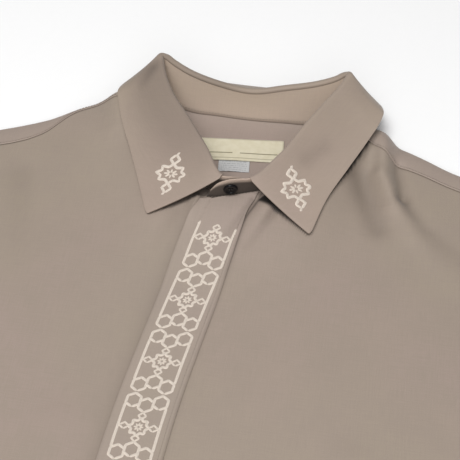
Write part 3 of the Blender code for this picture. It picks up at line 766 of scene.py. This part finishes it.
class Finish:
    """A material under way: node() adds any node, set() fills the Principled shader's sockets."""

    def __init__(self, name):
        self.material = bpy.data.materials.new(name)
        self.material.use_nodes = True
        self.shader = self.material.node_tree.nodes["Principled BSDF"]

    def node(self, kind, settings=None, inputs=None, output=0):
        """Adds a node, with its settings first, then the values or links of its sockets."""
        new = self.material.node_tree.nodes.new(kind)
        for key, value in (settings or {}).items():
            setattr(new, key, value)
        for key, value in (inputs or {}).items():
            self.fill(new.inputs[key], value)
        return Term(self, new.outputs[output])

    def fill(self, socket, value):
        if isinstance(value, Term):
            self.material.node_tree.links.new(value.socket, socket)
        elif hasattr(value, "__len__") and socket.type == "RGBA":
            socket.default_value = (*value, 1.0)
        else:
            socket.default_value = value

    def set(self, sockets):
        for key, value in sockets.items():
            self.fill(self.shader.inputs[key], value)
        return self.material

    def place(self):
        """Object coordinates, for what doesn't follow the cloth."""
        return self.node("ShaderNodeTexCoord", output=3)

    def across_along(self):
        """The piece's own map, in metres: across and along the cloth."""
        vector = self.node("ShaderNodeUVMap", {"uv_map": "Cloth"})
        return vector, *(self.node("ShaderNodeSeparateXYZ", None, {0: vector}, k) for k in (0, 1))

    def noise(self, vector, scale, detail=2.0, stretch=None):
        """Noise on a place, which stretch scales in x, y and z first."""
        if stretch:
            vector = self.node("ShaderNodeMapping", None, {0: vector, 3: stretch})
        return self.node("ShaderNodeTexNoise", None, {"Vector": vector, "Scale": scale, "Detail": detail})

    def blend(self, factor, one, two):
        """One colour at 0, the other at 1."""
        return self.node("ShaderNodeMix", {"data_type": "RGBA"}, {0: factor, 6: one, 7: two}, 2)

    def between(self, value, low, high):
        """0 below low, 1 above high, smooth between."""
        return self.node("ShaderNodeMapRange", {"interpolation_type": "SMOOTHSTEP"},
                         {0: value, 1: low, 2: high})

    def wave(self, value, length):
        """Sine of a place on the cloth, with the length of one wave in metres."""
        return (value * (2 * math.pi / length)).math("SINE")

    def bump(self, height, distance):
        return self.node("ShaderNodeBump", None, {"Strength": 1.0, "Distance": distance, "Height": height})


def scaled(colour, factor):
    """Colour with each channel times its factor."""
    return tuple(c * f for c, f in zip(colour, factor))


def cloth_finish(name):
    """Fine plain weave: threads over and under as sin(across) sin(along), slubs along both threads, and
    the cloth's soft change of hue between a greener and a pinker taupe. Painted shade, read from an
    attribute, takes it towards a near black tint."""
    made = bpy.data.materials.get(name)
    if made:
        return made
    settings = bpy.context.scene.shirt_colours
    pitch = bpy.context.scene.shirt_sizes.thread_pitch
    colour = scaled(settings.cloth, TINTS[name])
    finish = Finish(name)
    vector, across, along = finish.across_along()
    weave = finish.wave(across, 2 * pitch) * finish.wave(along, 2 * pitch)
    slub_warp = finish.noise(vector, 1.0, 1.0, (1 / (3 * pitch), 60, 1))
    slub_weft = finish.noise(vector, 1.0, 1.0, (60, 1 / (3 * pitch), 1))
    hue = finish.noise(finish.place(), 5.5, 2.0)
    cloud = finish.noise(finish.place(), 26.0, 2.0)
    green, pink = scaled(colour, (0.985, 1.0, 0.955)), scaled(colour, (1.02, 0.985, 1.02))
    base = finish.blend(finish.between(hue, 0.35, 0.65), green, pink)
    shade = (slub_warp + slub_weft + cloud) / 3 + weave * 0.02
    base = finish.blend(finish.between(shade, 0.36, 0.64), scaled(colour, (0.94, 0.94, 0.935)), base)
    # Painted shade: the attribute darkens the cloth in gaps, creases, along edges and on the leaf
    painted_shade = finish.node("ShaderNodeAttribute", {"attribute_name": "PaintedShade"}, None, 2)
    base = finish.blend(painted_shade, base, scaled(colour, PAINTED_SHADE_TINT))
    height = weave * 0.5 + (slub_warp + slub_weft) * 1.2
    return finish.set({"Base Color": base, "Roughness": 0.62 + (cloud - 0.5) * 0.12,
                       "Sheen Weight": 0.12, "Sheen Roughness": 0.45, "Specular IOR Level": 0.3,
                       "Normal": finish.bump(height, 0.00006)})


def thread_finish(name, colour, roughness, period, slant):
    """Twisted or laid thread: fine ribs across the line, slanting with its width, with painted shade in the
    grooves between them, mixed with random patches of tone.
    """
    made = bpy.data.materials.get(name)
    if made:
        return made
    finish = Finish(name)
    vector, across, along = finish.across_along()
    ribs = finish.wave(along + across * slant, period)
    patches = finish.noise(vector, 900.0, 1.0)
    # Painted shade in the grooves between the ribs, mixed with random patches of tone
    shade = finish.between(ribs + patches * 1.2, -0.6, 1.4)
    base = finish.blend(shade, scaled(colour, (0.80, 0.78, 0.76)), colour)
    return finish.set({"Base Color": base, "Roughness": roughness, "Sheen Weight": 0.15,
                       "Normal": finish.bump(ribs, 0.00008)})


def label_finish():
    """Cream damask ribbon with fine weft ribs, a dark olive line along it with a break at the middle, and
    bare cloth where lettering would be."""
    colours = bpy.context.scene.shirt_colours
    finish = Finish("label_satin")
    vector, across, along = finish.across_along()
    ribs, warp = finish.wave(along, 0.0006), finish.wave(across, 0.00035)
    line_edge, line_end = (0.00035, 0.0006), (0.0305, 0.0309)
    line_below, gap_left, gap_edge = 0.0037, 0.004, (0.0030, 0.0033)
    line = 1 - finish.between((along + line_below).math("ABSOLUTE"), *line_edge)
    ends = 1 - finish.between(across.math("ABSOLUTE"), *line_end)
    stroke = line * ends * finish.between((across + gap_left).math("ABSOLUTE"), *gap_edge)
    low = finish.between(along * -1, 0.0085, 0.0090) * finish.between(along * -1, 0.0098, 0.0094)
    cloud = finish.noise(vector, 160.0, 2.0)
    base = finish.blend(finish.between(cloud, 0.3, 0.7), scaled(colours.label, (0.93, 0.92, 0.88)),
                        colours.label)
    base = finish.blend((stroke + low * ends * 0.55) * 0.85, base, colours.label_line)
    return finish.set({"Base Color": base, "Roughness": 0.42 + ribs * 0.05, "Sheen Weight": 0.2,
                       "Normal": finish.bump(ribs + warp * 0.5, 0.00005)})


def care_finish():
    """White satin strip with rows of faint grey dashes, as generic print."""
    colours = bpy.context.scene.shirt_colours
    finish = Finish("care_satin")
    vector, across, along = finish.across_along()
    rows = finish.between(finish.wave(along, 0.0021), 0.35, 0.65)
    breaks = finish.noise(vector, 1.0, 0.0, (1100, 240, 1))
    inside = 1 - finish.between(across.math("ABSOLUTE"), 0.0105, 0.0108)
    dashes = rows * finish.between(breaks, 0.45, 0.5) * inside
    base = finish.blend(dashes * 0.6, colours.care_label, scaled(colours.care_label, (0.32, 0.33, 0.36)))
    return finish.set({"Base Color": base, "Roughness": 0.4,
                       "Normal": finish.bump(finish.wave(along, 0.0004), 0.00003)})


def button_finish():
    """Black polished resin, with a faint haze."""
    finish = Finish("button_resin")
    haze = finish.noise(finish.place(), 900.0, 2.0)
    base = finish.blend(haze, (0.003, 0.003, 0.004), (0.008, 0.007, 0.008))
    return finish.set({"Base Color": base, "Roughness": 0.05 + haze * 0.03, "Specular IOR Level": 0.25})


def floor_finish():
    """Plain pale board."""
    finish = Finish("floor_paint")
    colour = bpy.context.scene.shirt_colours.floor
    base = finish.blend(finish.noise(finish.place(), 140.0, 3.0), scaled(colour, (0.985,) * 3), colour)
    return finish.set({"Base Color": base, "Roughness": 0.85})


def resample(line, step):
    """Points along a line at equal steps, and the length along it at each."""
    knots = lengths(line)
    places = np.linspace(0, knots[-1], max(int(round(knots[-1] / step)), 2) + 1)
    return np.stack([np.interp(places, knots, line[:, k]) for k in range(line.shape[1])], axis=-1), places


def ribbon(lines, width, height, face):
    """Raised ribbons along flat lines. Across, the section is a low dome, height (1 - u2), from u = -1 to 1
    times half the width; at its two ends the ribbon narrows and sinks. face gives the cloth's points and
    normals under plan points. Lines, width and height are in metres."""
    across = np.array((-1.0, -0.62, 0.0, 0.62, 1.0))
    dome, count = np.array((-0.35, 0.72, 1.0, 0.72, -0.35)), len(across)
    plans, rises, maps, quads, first = [], [], [], [], 0
    for line in lines:
        middle, places = resample(line, width * 0.33)
        ahead = unit(np.gradient(middle, axis=0))
        aside = np.stack([ahead[:, 1], -ahead[:, 0]], axis=-1)
        end = np.minimum(places, places[::-1])
        round_end = np.sqrt(np.clip(end / (width * 0.5), 0.12, 1))
        plans.append(middle[:, None] + aside[:, None] * (across * width / 2)[None, :, None]
                     * round_end[:, None, None])
        rises.append(height * (dome[None, :] - 1.2 * (1 - round_end[:, None])))
        maps.append(np.dstack(np.broadcast_arrays(across * width / 2, places[:, None])))
        quads.append(quads_of(len(middle), count) + first)
        first += len(middle) * count
    plan = np.concatenate([p.reshape(-1, 2) for p in plans])
    rise = np.concatenate([r.ravel() for r in rises])
    point, normal = face(plan[:, 0], plan[:, 1])
    return (point + normal * rise[:, None], np.concatenate(quads),
            np.concatenate([m.reshape(-1, 2) for m in maps]))


def heights_face(height, lift):
    """The face of a cloth whose height over the plan is known: its points and its unit normals."""
    def face(x, y):
        step = 0.2 * MM
        z = height(x, y)
        normal = unit(np.stack([(z - height(x + step, y)) / step, (z - height(x, y + step)) / step,
                                np.ones_like(z)], axis=-1))
        return np.stack([x, y, z], axis=-1) + normal * lift, normal
    return face


def fitted_face(points, centre, reach, lift):
    """The face of a smooth cloth near a place: a cubic in x and y fitted to its own points."""
    near = points.reshape(-1, 3)
    near = near[np.hypot(near[:, 0] - centre[0], near[:, 1] - centre[1]) < reach]
    powers = [(i, j) for i in range(4) for j in range(4 - i)]

    def terms(x, y):
        a, b = (x - centre[0]) / reach, (y - centre[1]) / reach
        return np.stack([a ** i * b ** j for i, j in powers], axis=-1)
    cubic = np.linalg.lstsq(terms(near[:, 0], near[:, 1]), near[:, 2], rcond=None)[0]
    return heights_face(lambda x, y: terms(x, y) @ cubic, lift)


def star_lines(half_width, half_height):
    """Eight pointed star and its flower, round (0, 0). Outline points lie every 22.5 degrees on an ellipse,
    at radii 1.06 and 0.75 by turns, and the flower is eight strokes from 0.1 to 0.5."""
    size = np.array((half_width, half_height))
    turn = np.radians(22.5 * np.arange(17))
    radius = np.where(np.arange(17) % 2 == 0, 1.06, 0.75)
    outline = np.stack([radius * np.cos(turn), radius * np.sin(turn)], axis=-1) * size
    spokes = np.stack([np.cos(turn[:-1:2]), np.sin(turn[:-1:2])], axis=-1) * size
    return outline, [np.array((spoke * 0.1, spoke * 0.5)) for spoke in spokes]


def ring_line(centre, half_width, half_height, corners=4):
    """Closed ring of straight sides, with its corners evenly round an ellipse from the top."""
    turn = 2 * math.pi * np.arange(corners + 1) / corners
    return np.array(centre) + np.stack([half_width * np.sin(turn), half_height * np.cos(turn)], axis=-1)


def band_lines():
    """Lines of the band in mm, across and down from the first star: wide ones and fine ones."""
    outline, strokes = star_lines(*STRIP_STAR)
    wide, fine = [], []
    for star in range(BAND_STARS):
        down = np.array((0, star * BAND_REPEAT))
        wide.append(outline + down)
        fine += [stroke + down for stroke in strokes]
        fine += [ring_line((side * x, side * y) + down, *size)
                 for x, y, *size in BAND_RINGS for side in (-1, 1)]
        for side, top in zip((-1, 1), RAIL_TOPS):
            start = -RAIL_END if star else top
            wide.append(np.array(((side * RAIL, start), (side * RAIL, RAIL_END))) + down)
        if star < BAND_STARS - 1:
            for cell in np.array(CELLS):
                for centre in (cell, (0, BAND_REPEAT) - cell):
                    wide.append(ring_line(centre + down, CELL_RADIUS, CELL_RADIUS, 6))
    return wide, fine


def on_band(line):
    """Plan points of a line of the band: down the strip, and across from the band's middle."""
    line = resample(line * MM, LINE_STEP)[0]
    y = FIRST_STAR * MM - line[:, 1]
    return np.stack([np.interp(y, BAND_MIDDLE[:, 0], BAND_MIDDLE[:, 1]) + line[:, 0], y], axis=-1)


def add_embroidery(name, groups, face):
    """One piece of raised stitching from groups of lines, each with its width and height in mm."""
    colours = bpy.context.scene.shirt_colours
    finish = thread_finish("embroidery_thread", colours.embroidery, 0.5, 0.00045, 0.5)
    parts, first = [], 0
    for lines, width, height in groups:
        points, quads, uv = ribbon(lines, width * MM, height * MM, face)
        parts.append((points, quads + first, uv))
        first += len(points)
    points, quads, uv = (np.concatenate(part) for part in zip(*parts))
    add_piece(name, points, quads, uv, finish)


def add_stitches(name, lines):
    """Rows of topstitching. Each stitch is a thread of four sides, thin at its two ends, which dip into
    the cloth. Lines are pairs of points and normals."""
    sizes = bpy.context.scene.shirt_sizes
    pitch, length, radius = sizes.stitch_pitch, sizes.stitch_pitch * STITCH_SHARE, sizes.stitch_width / 2
    reach = np.array((-0.5, -0.3, 0.3, 0.5))
    thick = np.array((0.35, 1.0, 1.0, 0.35))
    turn = np.radians(45 + 90 * np.arange(4))
    points, maps = [], []
    for line, normal in lines:
        knots = lengths(line)
        centres = np.arange(pitch, knots[-1] - pitch / 2, pitch)
        places = centres[:, None] + reach * length
        spot, up = (np.stack([np.interp(places, knots, values[:, k]) for k in range(3)], axis=-1)
                    for values in (line, normal))
        aside = unit(np.cross(np.gradient(spot, axis=1), up))
        height = radius * (thick - 0.55)
        ring = (spot[:, :, None] + up[:, :, None] * (height[:, None] + radius * thick[:, None]
                                                     * np.sin(turn))[None, ..., None]
                + aside[:, :, None] * (radius * thick[:, None] * np.cos(turn))[None, ..., None])
        points.append(ring.reshape(-1, 3))
        maps.append(np.stack(np.broadcast_arrays(radius * np.cos(turn), places[..., None]),
                             axis=-1).reshape(-1, 2))
    points = np.concatenate(points)
    one = np.concatenate([quads_of(4, 4, wrap=True), ((0, 1, 2, 3), (15, 14, 13, 12))])[:, ::-1]
    quads = (one[None] + 16 * np.arange(len(points) // 16)[:, None, None]).reshape(-1, 4)
    colour = scaled(bpy.context.scene.shirt_colours.cloth, THREAD_TINT)
    finish = thread_finish("sewing_thread", colour, 0.55, 0.0004, 0.8)
    add_piece(name, points, quads, np.concatenate(maps), finish)


def grid_line(points, row, lift, flip=1):
    """A row of a grid of points, or a line between two rows, lifted along its normals."""
    low = int(row)
    mix = row - low
    line, up = (grid[low] * (1 - mix) + grid[low + 1] * mix for grid in (points, normals_of(points) * flip))
    return line + up * lift, up


def button_seat():
    """Middle of the button's back, off the stand's outer end, and the ways aside, up the stand and out."""
    rows = np.array(OUTER_END[:2], float) * MM
    across = rows[:, :3] + (rows[:, 3:] - rows[:, :3]) * BUTTON_AT[1]
    aside = unit(across[1] - across[0])
    facing = unit(np.cross((rows[:, 3:] - rows[:, :3]).mean(axis=0), across[1] - across[0]))
    seat = across[0] + (across[1] - across[0]) * BUTTON_AT[0] + facing * BUTTON_LIFT
    return seat, aside, np.cross(aside, facing), facing


def tubes(paths, radius, facing, sides=6):
    """Round tubes along paths of equal length: each ring is radius (beside cos(turn) + up sin(turn))."""
    turn = 2 * math.pi / sides * np.arange(sides)
    rings = []
    for path in paths:
        ahead = unit(np.gradient(path, axis=0))
        beside = np.cross(ahead, facing)
        up = np.cross(beside, ahead)
        rings.append(path[:, None] + radius * (beside[:, None] * np.cos(turn)[None, :, None]
                                               + up[:, None] * np.sin(turn)[None, :, None]))
    one = quads_of(len(paths[0]), sides, wrap=True)
    quads = np.concatenate([one + len(path) * sides * k for k, path in enumerate(paths)])
    return np.concatenate([ring.reshape(-1, 3) for ring in rings]), quads


def length_property(name, description, default, low, high):
    return FloatProperty(name=name, description=description, default=default, min=low, max=high,
                         unit="LENGTH")


class ShirtSizes(PropertyGroup):
    wall: length_property("Cloth", "Thickness of the body's cloth", 0.0006, 0.0003, 0.001)
    collar_wall: length_property("Collar", "Thickness of the collar", 0.0011, 0.0006, 0.0015)
    thread_pitch: length_property("Thread pitch", "From one thread of the weave to the next", 0.0003,
                                  0.0002, 0.001)
    crease_depth: FloatProperty(name="Creases", description="How deep the creases are", default=1.0,
                                min=0.0, max=1.5)
    stitch_pitch: length_property("Stitch", "From one stitch to the next", 0.0026, 0.0015, 0.004)
    stitch_width: length_property("Sewing thread", "Thickness of the sewing thread", 0.00042, 0.0002,
                                  0.0008)
    band_width: length_property("Embroidery", "Width of the embroidered lines", 0.0024, 0.0008, 0.003)


def colour_property(name, description, default):
    return FloatVectorProperty(name=name, description=description, default=default, subtype="COLOR",
                               size=3, min=0.0, max=1.0)


class ShirtColours(PropertyGroup):
    cloth: colour_property("Cloth", "Taupe of the shirt", (0.366, 0.297, 0.245))
    embroidery: colour_property("Embroidery", "Cream of the embroidery", (0.90, 0.795, 0.69))
    label: colour_property("Label", "Cream of the neck label", (0.80, 0.74, 0.56))
    label_line: colour_property("Label line", "Olive of the line on the label", (0.16, 0.13, 0.055))
    care_label: colour_property("Care label", "White of the care label", (0.56, 0.56, 0.555))
    floor: colour_property("Floor", "Pale floor", (0.975, 0.975, 0.975))


class SHIRT_OT_back(Operator):
    """Back panel and yoke"""
    bl_idname = "shirt.back"
    bl_label = "Back and Yoke"

    def execute(self, context):
        wall = context.scene.shirt_sizes.wall
        add_cloth("back_cloth", "back", back_points(), cloth_finish("taupe_body"), wall)
        points, keep = yoke_points()
        add_cloth("yoke_cloth", "yoke", points, cloth_finish("taupe_yoke"), wall,
                  uv=np.dstack([points[..., 0], points[..., 1] + points[..., 2]]), keep=keep)
        return {"FINISHED"}


class SHIRT_OT_fronts(Operator):
    """The two front panels"""
    bl_idname = "shirt.fronts"
    bl_label = "Fronts"

    def execute(self, context):
        wall = context.scene.shirt_sizes.wall
        for name, side in (("right_front", -1), ("left_front", 1)):
            points = front_points(name, side)
            # Painted shade under the leaf, beside the strip, at the hem step and in creases
            shade = np.maximum(shade_under_leaf(points), shade_beside_strip(name, points))
            add_cloth(name + "_cloth", name, points, cloth_finish("taupe_body"), wall,
                      painted_shade=with_troughs(shade, points))
        return {"FINISHED"}


class SHIRT_OT_placket(Operator):
    """Strip that covers the front buttons"""
    bl_idname = "shirt.placket"
    bl_label = "Placket"

    def execute(self, context):
        sizes = context.scene.shirt_sizes
        # Painted shade under the leaf and in creases
        points = placket_points()
        add_cloth("placket_cloth", "placket", points, cloth_finish("taupe_placket"),
                  sizes.wall * STRIP_WALL, bevel=RIM,
                  painted_shade=with_troughs(shade_under_leaf(points), points))
        return {"FINISHED"}


class SHIRT_OT_collar(Operator):
    """Stand and turned down leaf"""
    bl_idname = "shirt.collar"
    bl_label = "Collar"

    def execute(self, context):
        wall = context.scene.shirt_sizes.collar_wall
        # Painted shade at the stand's throat and foot, and over the leaf
        for name, points, shade in (("collar_stand", stand_points(), stand_shade),
                                    ("collar_leaf", leaf_points(), leaf_shade)):
            share = (np.arange(len(points)) / (len(points) - 1))[:, None]
            add_cloth(name + "_cloth", name, points, cloth_finish("taupe_" + name), wall,
                      uv=lengths_map(points),
                      bevel=RIM, painted_shade=shade(points, share))
        return {"FINISHED"}


class SHIRT_OT_sleeves(Operator):
    """The two sleeves"""
    bl_idname = "shirt.sleeves"
    bl_label = "Sleeves"

    def execute(self, context):
        wall = context.scene.shirt_sizes.wall
        for name, side in (("right_sleeve", -1), ("left_sleeve", 1)):
            add_cloth(name + "_cloth", name, sleeve_points(side), cloth_finish("taupe_body"), wall,
                      wrap=True)
        return {"FINISHED"}


class SHIRT_OT_labels(Operator):
    """Neck label and care label, without lettering"""
    bl_idname = "shirt.labels"
    bl_label = "Labels"

    def execute(self, context):
        for (node, (size, middle, lift)), finish in zip(LABELS.items(), (label_finish(), care_finish())):
            points, uv = label_points(size, middle, lift)
            add_cloth(node + "_face", node, points, finish, LABEL_WALL, uv=uv)
        return {"FINISHED"}


class SHIRT_OT_button(Operator):
    """Button on the stand, with its thread"""
    bl_idname = "shirt.button"
    bl_label = "Button"

    def execute(self, context):
        seat, aside, rise, facing = button_seat()
        section = smooth_rows(np.array(BUTTON_SECTION, float), 5)
        turn = np.linspace(0, 2 * math.pi, 48, endpoint=False)
        radius = section[:, :1] * BUTTON_RADIUS
        a, b = radius * np.cos(turn), radius * np.sin(turn)
        pit = sum(np.exp(-(np.hypot(a - x, b - y) / BUTTON_PIT[0]) ** 6) for x, y in BUTTON_HOLES)
        face_up = (np.arange(len(section)) < len(section) // 2)[:, None]
        c = section[:, 1:] * BUTTON_DEPTH - pit * face_up * BUTTON_PIT[1]
        points = seat + a[..., None] * aside + b[..., None] * rise + c[..., None] * facing
        button = add_piece("collar_button_face", points, quads_of(*a.shape, wrap=True),
                           np.dstack([a, b]), button_finish())
        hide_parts("collar_button")
        share = np.linspace(0, 1, 9)[:, None]
        arch = (0.35 + 0.55 * np.sin(math.pi * share)) * MM + BUTTON_DEPTH * 0.4
        paths = []
        for start, end in (BUTTON_HOLES[:2], BUTTON_HOLES[:1:-1]):
            for shift in BUTTON_STRANDS:
                flat = start + (end - start) * share + (shift, 0)
                paths.append(seat + flat[:, :1] * aside + flat[:, 1:] * rise + arch * facing)
        points, quads = tubes(paths, BUTTON_THREAD, facing)
        finish = thread_finish("button_thread", (0.05, 0.045, 0.04), 0.6, 0.0004, 0.8)
        thread = add_piece("collar_button_thread", points, quads, points[:, :2], finish)
        return {"FINISHED"}


class SHIRT_OT_embroidery(Operator):
    """Star band on the placket and star on each point of the collar"""
    bl_idname = "shirt.embroidery"
    bl_label = "Embroidery"

    def execute(self, context):
        sizes = context.scene.shirt_sizes
        width = sizes.band_width / MM
        wide, fine = band_lines()
        face = heights_face(placket_height, sizes.wall * STRIP_WALL / 2)
        add_embroidery("placket_embroidery",
                       [([on_band(line) for line in wide], width, BAND_HEIGHTS[0]),
                        ([on_band(line) for line in fine], width * FINE_WIDTH, BAND_HEIGHTS[1])], face)
        leaf = leaf_points()[len(FOLD_SECTION):]
        outline, strokes = star_lines(*LEAF_STAR)
        way, *ring_size = LEAF_RING
        beside = (ring_line((0, way), *ring_size), np.array(((0, way + ring_size[1]), LEAF_TAIL)))
        for name, (x, y, turn, *plane) in LEAF_MOTIFS.items():
            centre = np.array((x, y)) * MM
            face = fitted_face(leaf, centre, STAR_REACH, sizes.collar_wall / 2)
            cos, sin = math.cos(math.radians(turn)), math.sin(math.radians(turn))
            laid = np.array(((cos, sin), (-sin, cos))) @ ((plane[0], plane[1]), (0, plane[2])) * MM
            rings = [line * side for line in beside for side in (1, -1)]
            wide, fine = ([centre + resample(line @ laid, LINE_STEP)[0] for line in lines]
                          for lines in ([outline] + rings, strokes))
            add_embroidery(name, [(wide, width * LEAF_WIDTH, LEAF_HEIGHTS[0]),
                                                 (fine, width * FINE_WIDTH, LEAF_HEIGHTS[1])], face)
        return {"FINISHED"}


class SHIRT_OT_stitching(Operator):
    """Topstitching along seams, edges and hems"""
    bl_idname = "shirt.stitching"
    bl_label = "Stitching"

    def execute(self, context):
        sizes = context.scene.shirt_sizes
        skin, thick = sizes.wall / 2, sizes.collar_wall / 2
        stand = stand_points()
        lines = [grid_line(stand, STAND_STITCHES[row], thick, flip)
                 for row, flip in (("foot", 1), ("foot", -1), ("fold", -1))]
        add_stitches("collar_stand_stitches", lines)
        lines = []
        for side in (-1, 1):
            x = side * np.linspace(NECK_HALF + 0.004, HALF_SHOULDER - 0.002, 120)
            lines.append(heights_face(cloth_height, skin + 0.5 * MM)(x, front_seam(x) + YOKE_STITCHES))
        add_stitches("yoke_stitches", lines)
        y = np.linspace(-BODY_LENGTH + 0.004, THROAT_Y - 0.012, 300)
        x = placket_middle(y) + STRIP_STITCHES * PLACKET_WIDTH / 2
        add_stitches("placket_stitches",
                     [heights_face(placket_height, sizes.wall * STRIP_WALL / 2)(x, y)])
        for name, side in (("right", -1), ("left", 1)):
            front, sleeve = name + "_front", name + "_sleeve"
            start = float(placket_middle(-BODY_LENGTH)) + side * PLACKET_WIDTH / 2
            x = np.linspace(start + side * 0.002, side * (HALF_CHEST - 0.004), 160)
            y = np.full_like(x, -BODY_LENGTH + HEM_DEPTH["body"] - HEM_STITCHES)
            hem = heights_face(lambda x, y, name=front: front_height(name, x, y), skin)(x, y)
            y = np.linspace(SHOULDER_TIP - 0.022, UNDERARM + 0.004, 120)
            arm = heights_face(cloth_height, skin)(side * (armhole(y) - ARM_STITCHES), y)
            add_stitches(front + "_stitches", [hem, arm])
            points = sleeve_points(side)
            row = np.interp(SLEEVE_HEM - CUFF_STITCHES, sleeve_shares()[:, 0], np.arange(len(points)))
            ring = np.concatenate([points, points[:, :1]], axis=1)
            add_stitches(sleeve + "_stitches", [grid_line(ring, float(row), skin)])
        return {"FINISHED"}


class SHIRT_OT_stage(Operator):
    """Pale floor, soft lights and the camera"""
    bl_idname = "shirt.stage"
    bl_label = "Stage"

    def execute(self, context):
        mesh = bpy.data.meshes.new("floor")
        corners = [(x, y, FLOOR_Z) for x in (-FLOOR_HALF, FLOOR_HALF) for y in (-FLOOR_HALF, FLOOR_HALF)]
        mesh.from_pydata(corners, [], [(0, 2, 3, 1)])
        mesh.materials.append(floor_finish())
        floor = bpy.data.objects.new("floor", mesh)
        context.scene.collection.objects.link(floor)
        for name, way, distance, size, power in LIGHTS:
            lamp = bpy.data.lights.new(name, "AREA")
            lamp.energy, lamp.size = power, size
            light = bpy.data.objects.new(name, lamp)
            context.scene.collection.objects.link(light)
            way = unit(np.array(way))
            light.matrix_world = looking(NECK_POINT + LIT_PLACE + way * distance, way)
        context.scene.view_settings.view_transform = "Standard"
        world = context.scene.world or bpy.data.worlds.new("World")
        context.scene.world = world
        world.use_nodes = True
        world.node_tree.nodes["Background"].inputs["Color"].default_value = (1.0, 1.0, 1.0, 1.0)
        world.node_tree.nodes["Background"].inputs["Strength"].default_value = SKY
        round_, up, roll = (math.radians(angle) for angle in CAMERA_ANGLES)
        back = np.array((math.sin(round_) * math.cos(up), -math.cos(round_) * math.cos(up), math.sin(up)))
        data = bpy.data.cameras.new("camera")
        data.lens, data.sensor_width = LENS, 36.0
        camera = bpy.data.objects.new("camera", data)
        context.scene.collection.objects.link(camera)
        camera.matrix_world = looking(NECK_POINT + CAMERA_PLACE, back, roll)
        context.scene.camera = camera
        return {"FINISHED"}


def looking(place, back, roll=0.0):
    """World matrix of a camera or light at place that looks against back."""
    right = unit(np.cross((0, 0, 1.0), back))
    up = np.cross(back, right)
    turned = math.cos(roll) * right - math.sin(roll) * up
    above = math.sin(roll) * right + math.cos(roll) * up
    return Matrix.Translation(place.tolist()) @ Matrix((turned, above, back)).transposed().to_4x4()


OPERATORS = (SHIRT_OT_back, SHIRT_OT_fronts, SHIRT_OT_placket, SHIRT_OT_collar, SHIRT_OT_sleeves,
             SHIRT_OT_labels, SHIRT_OT_button, SHIRT_OT_embroidery, SHIRT_OT_stitching, SHIRT_OT_stage)


class SHIRT_PT_panel(Panel):
    """Sizes, colours and the steps that build the shirt"""
    bl_idname = "SHIRT_PT_panel"
    bl_label = "Shirt"
    bl_space_type = "VIEW_3D"
    bl_region_type = "UI"
    bl_category = "Shirt"

    def draw(self, context):
        for group in (context.scene.shirt_sizes, context.scene.shirt_colours):
            column = self.layout.column(align=True)
            for key in group.__annotations__:
                column.prop(group, key)
        for operator in OPERATORS:
            self.layout.operator(operator.bl_idname)


CLASSES = (ShirtSizes, ShirtColours, *OPERATORS, SHIRT_PT_panel)


def register():
    for made in CLASSES:
        bpy.utils.register_class(made)
    bpy.types.Scene.shirt_sizes = PointerProperty(type=ShirtSizes)
    bpy.types.Scene.shirt_colours = PointerProperty(type=ShirtColours)


def unregister():
    del bpy.types.Scene.shirt_sizes
    del bpy.types.Scene.shirt_colours
    for made in reversed(CLASSES):
        bpy.utils.unregister_class(made)


def main():
    register()
    for operator in OPERATORS:
        getattr(bpy.ops.shirt, operator.bl_idname.split(".")[1])()


if __name__ == "__main__":
    main()
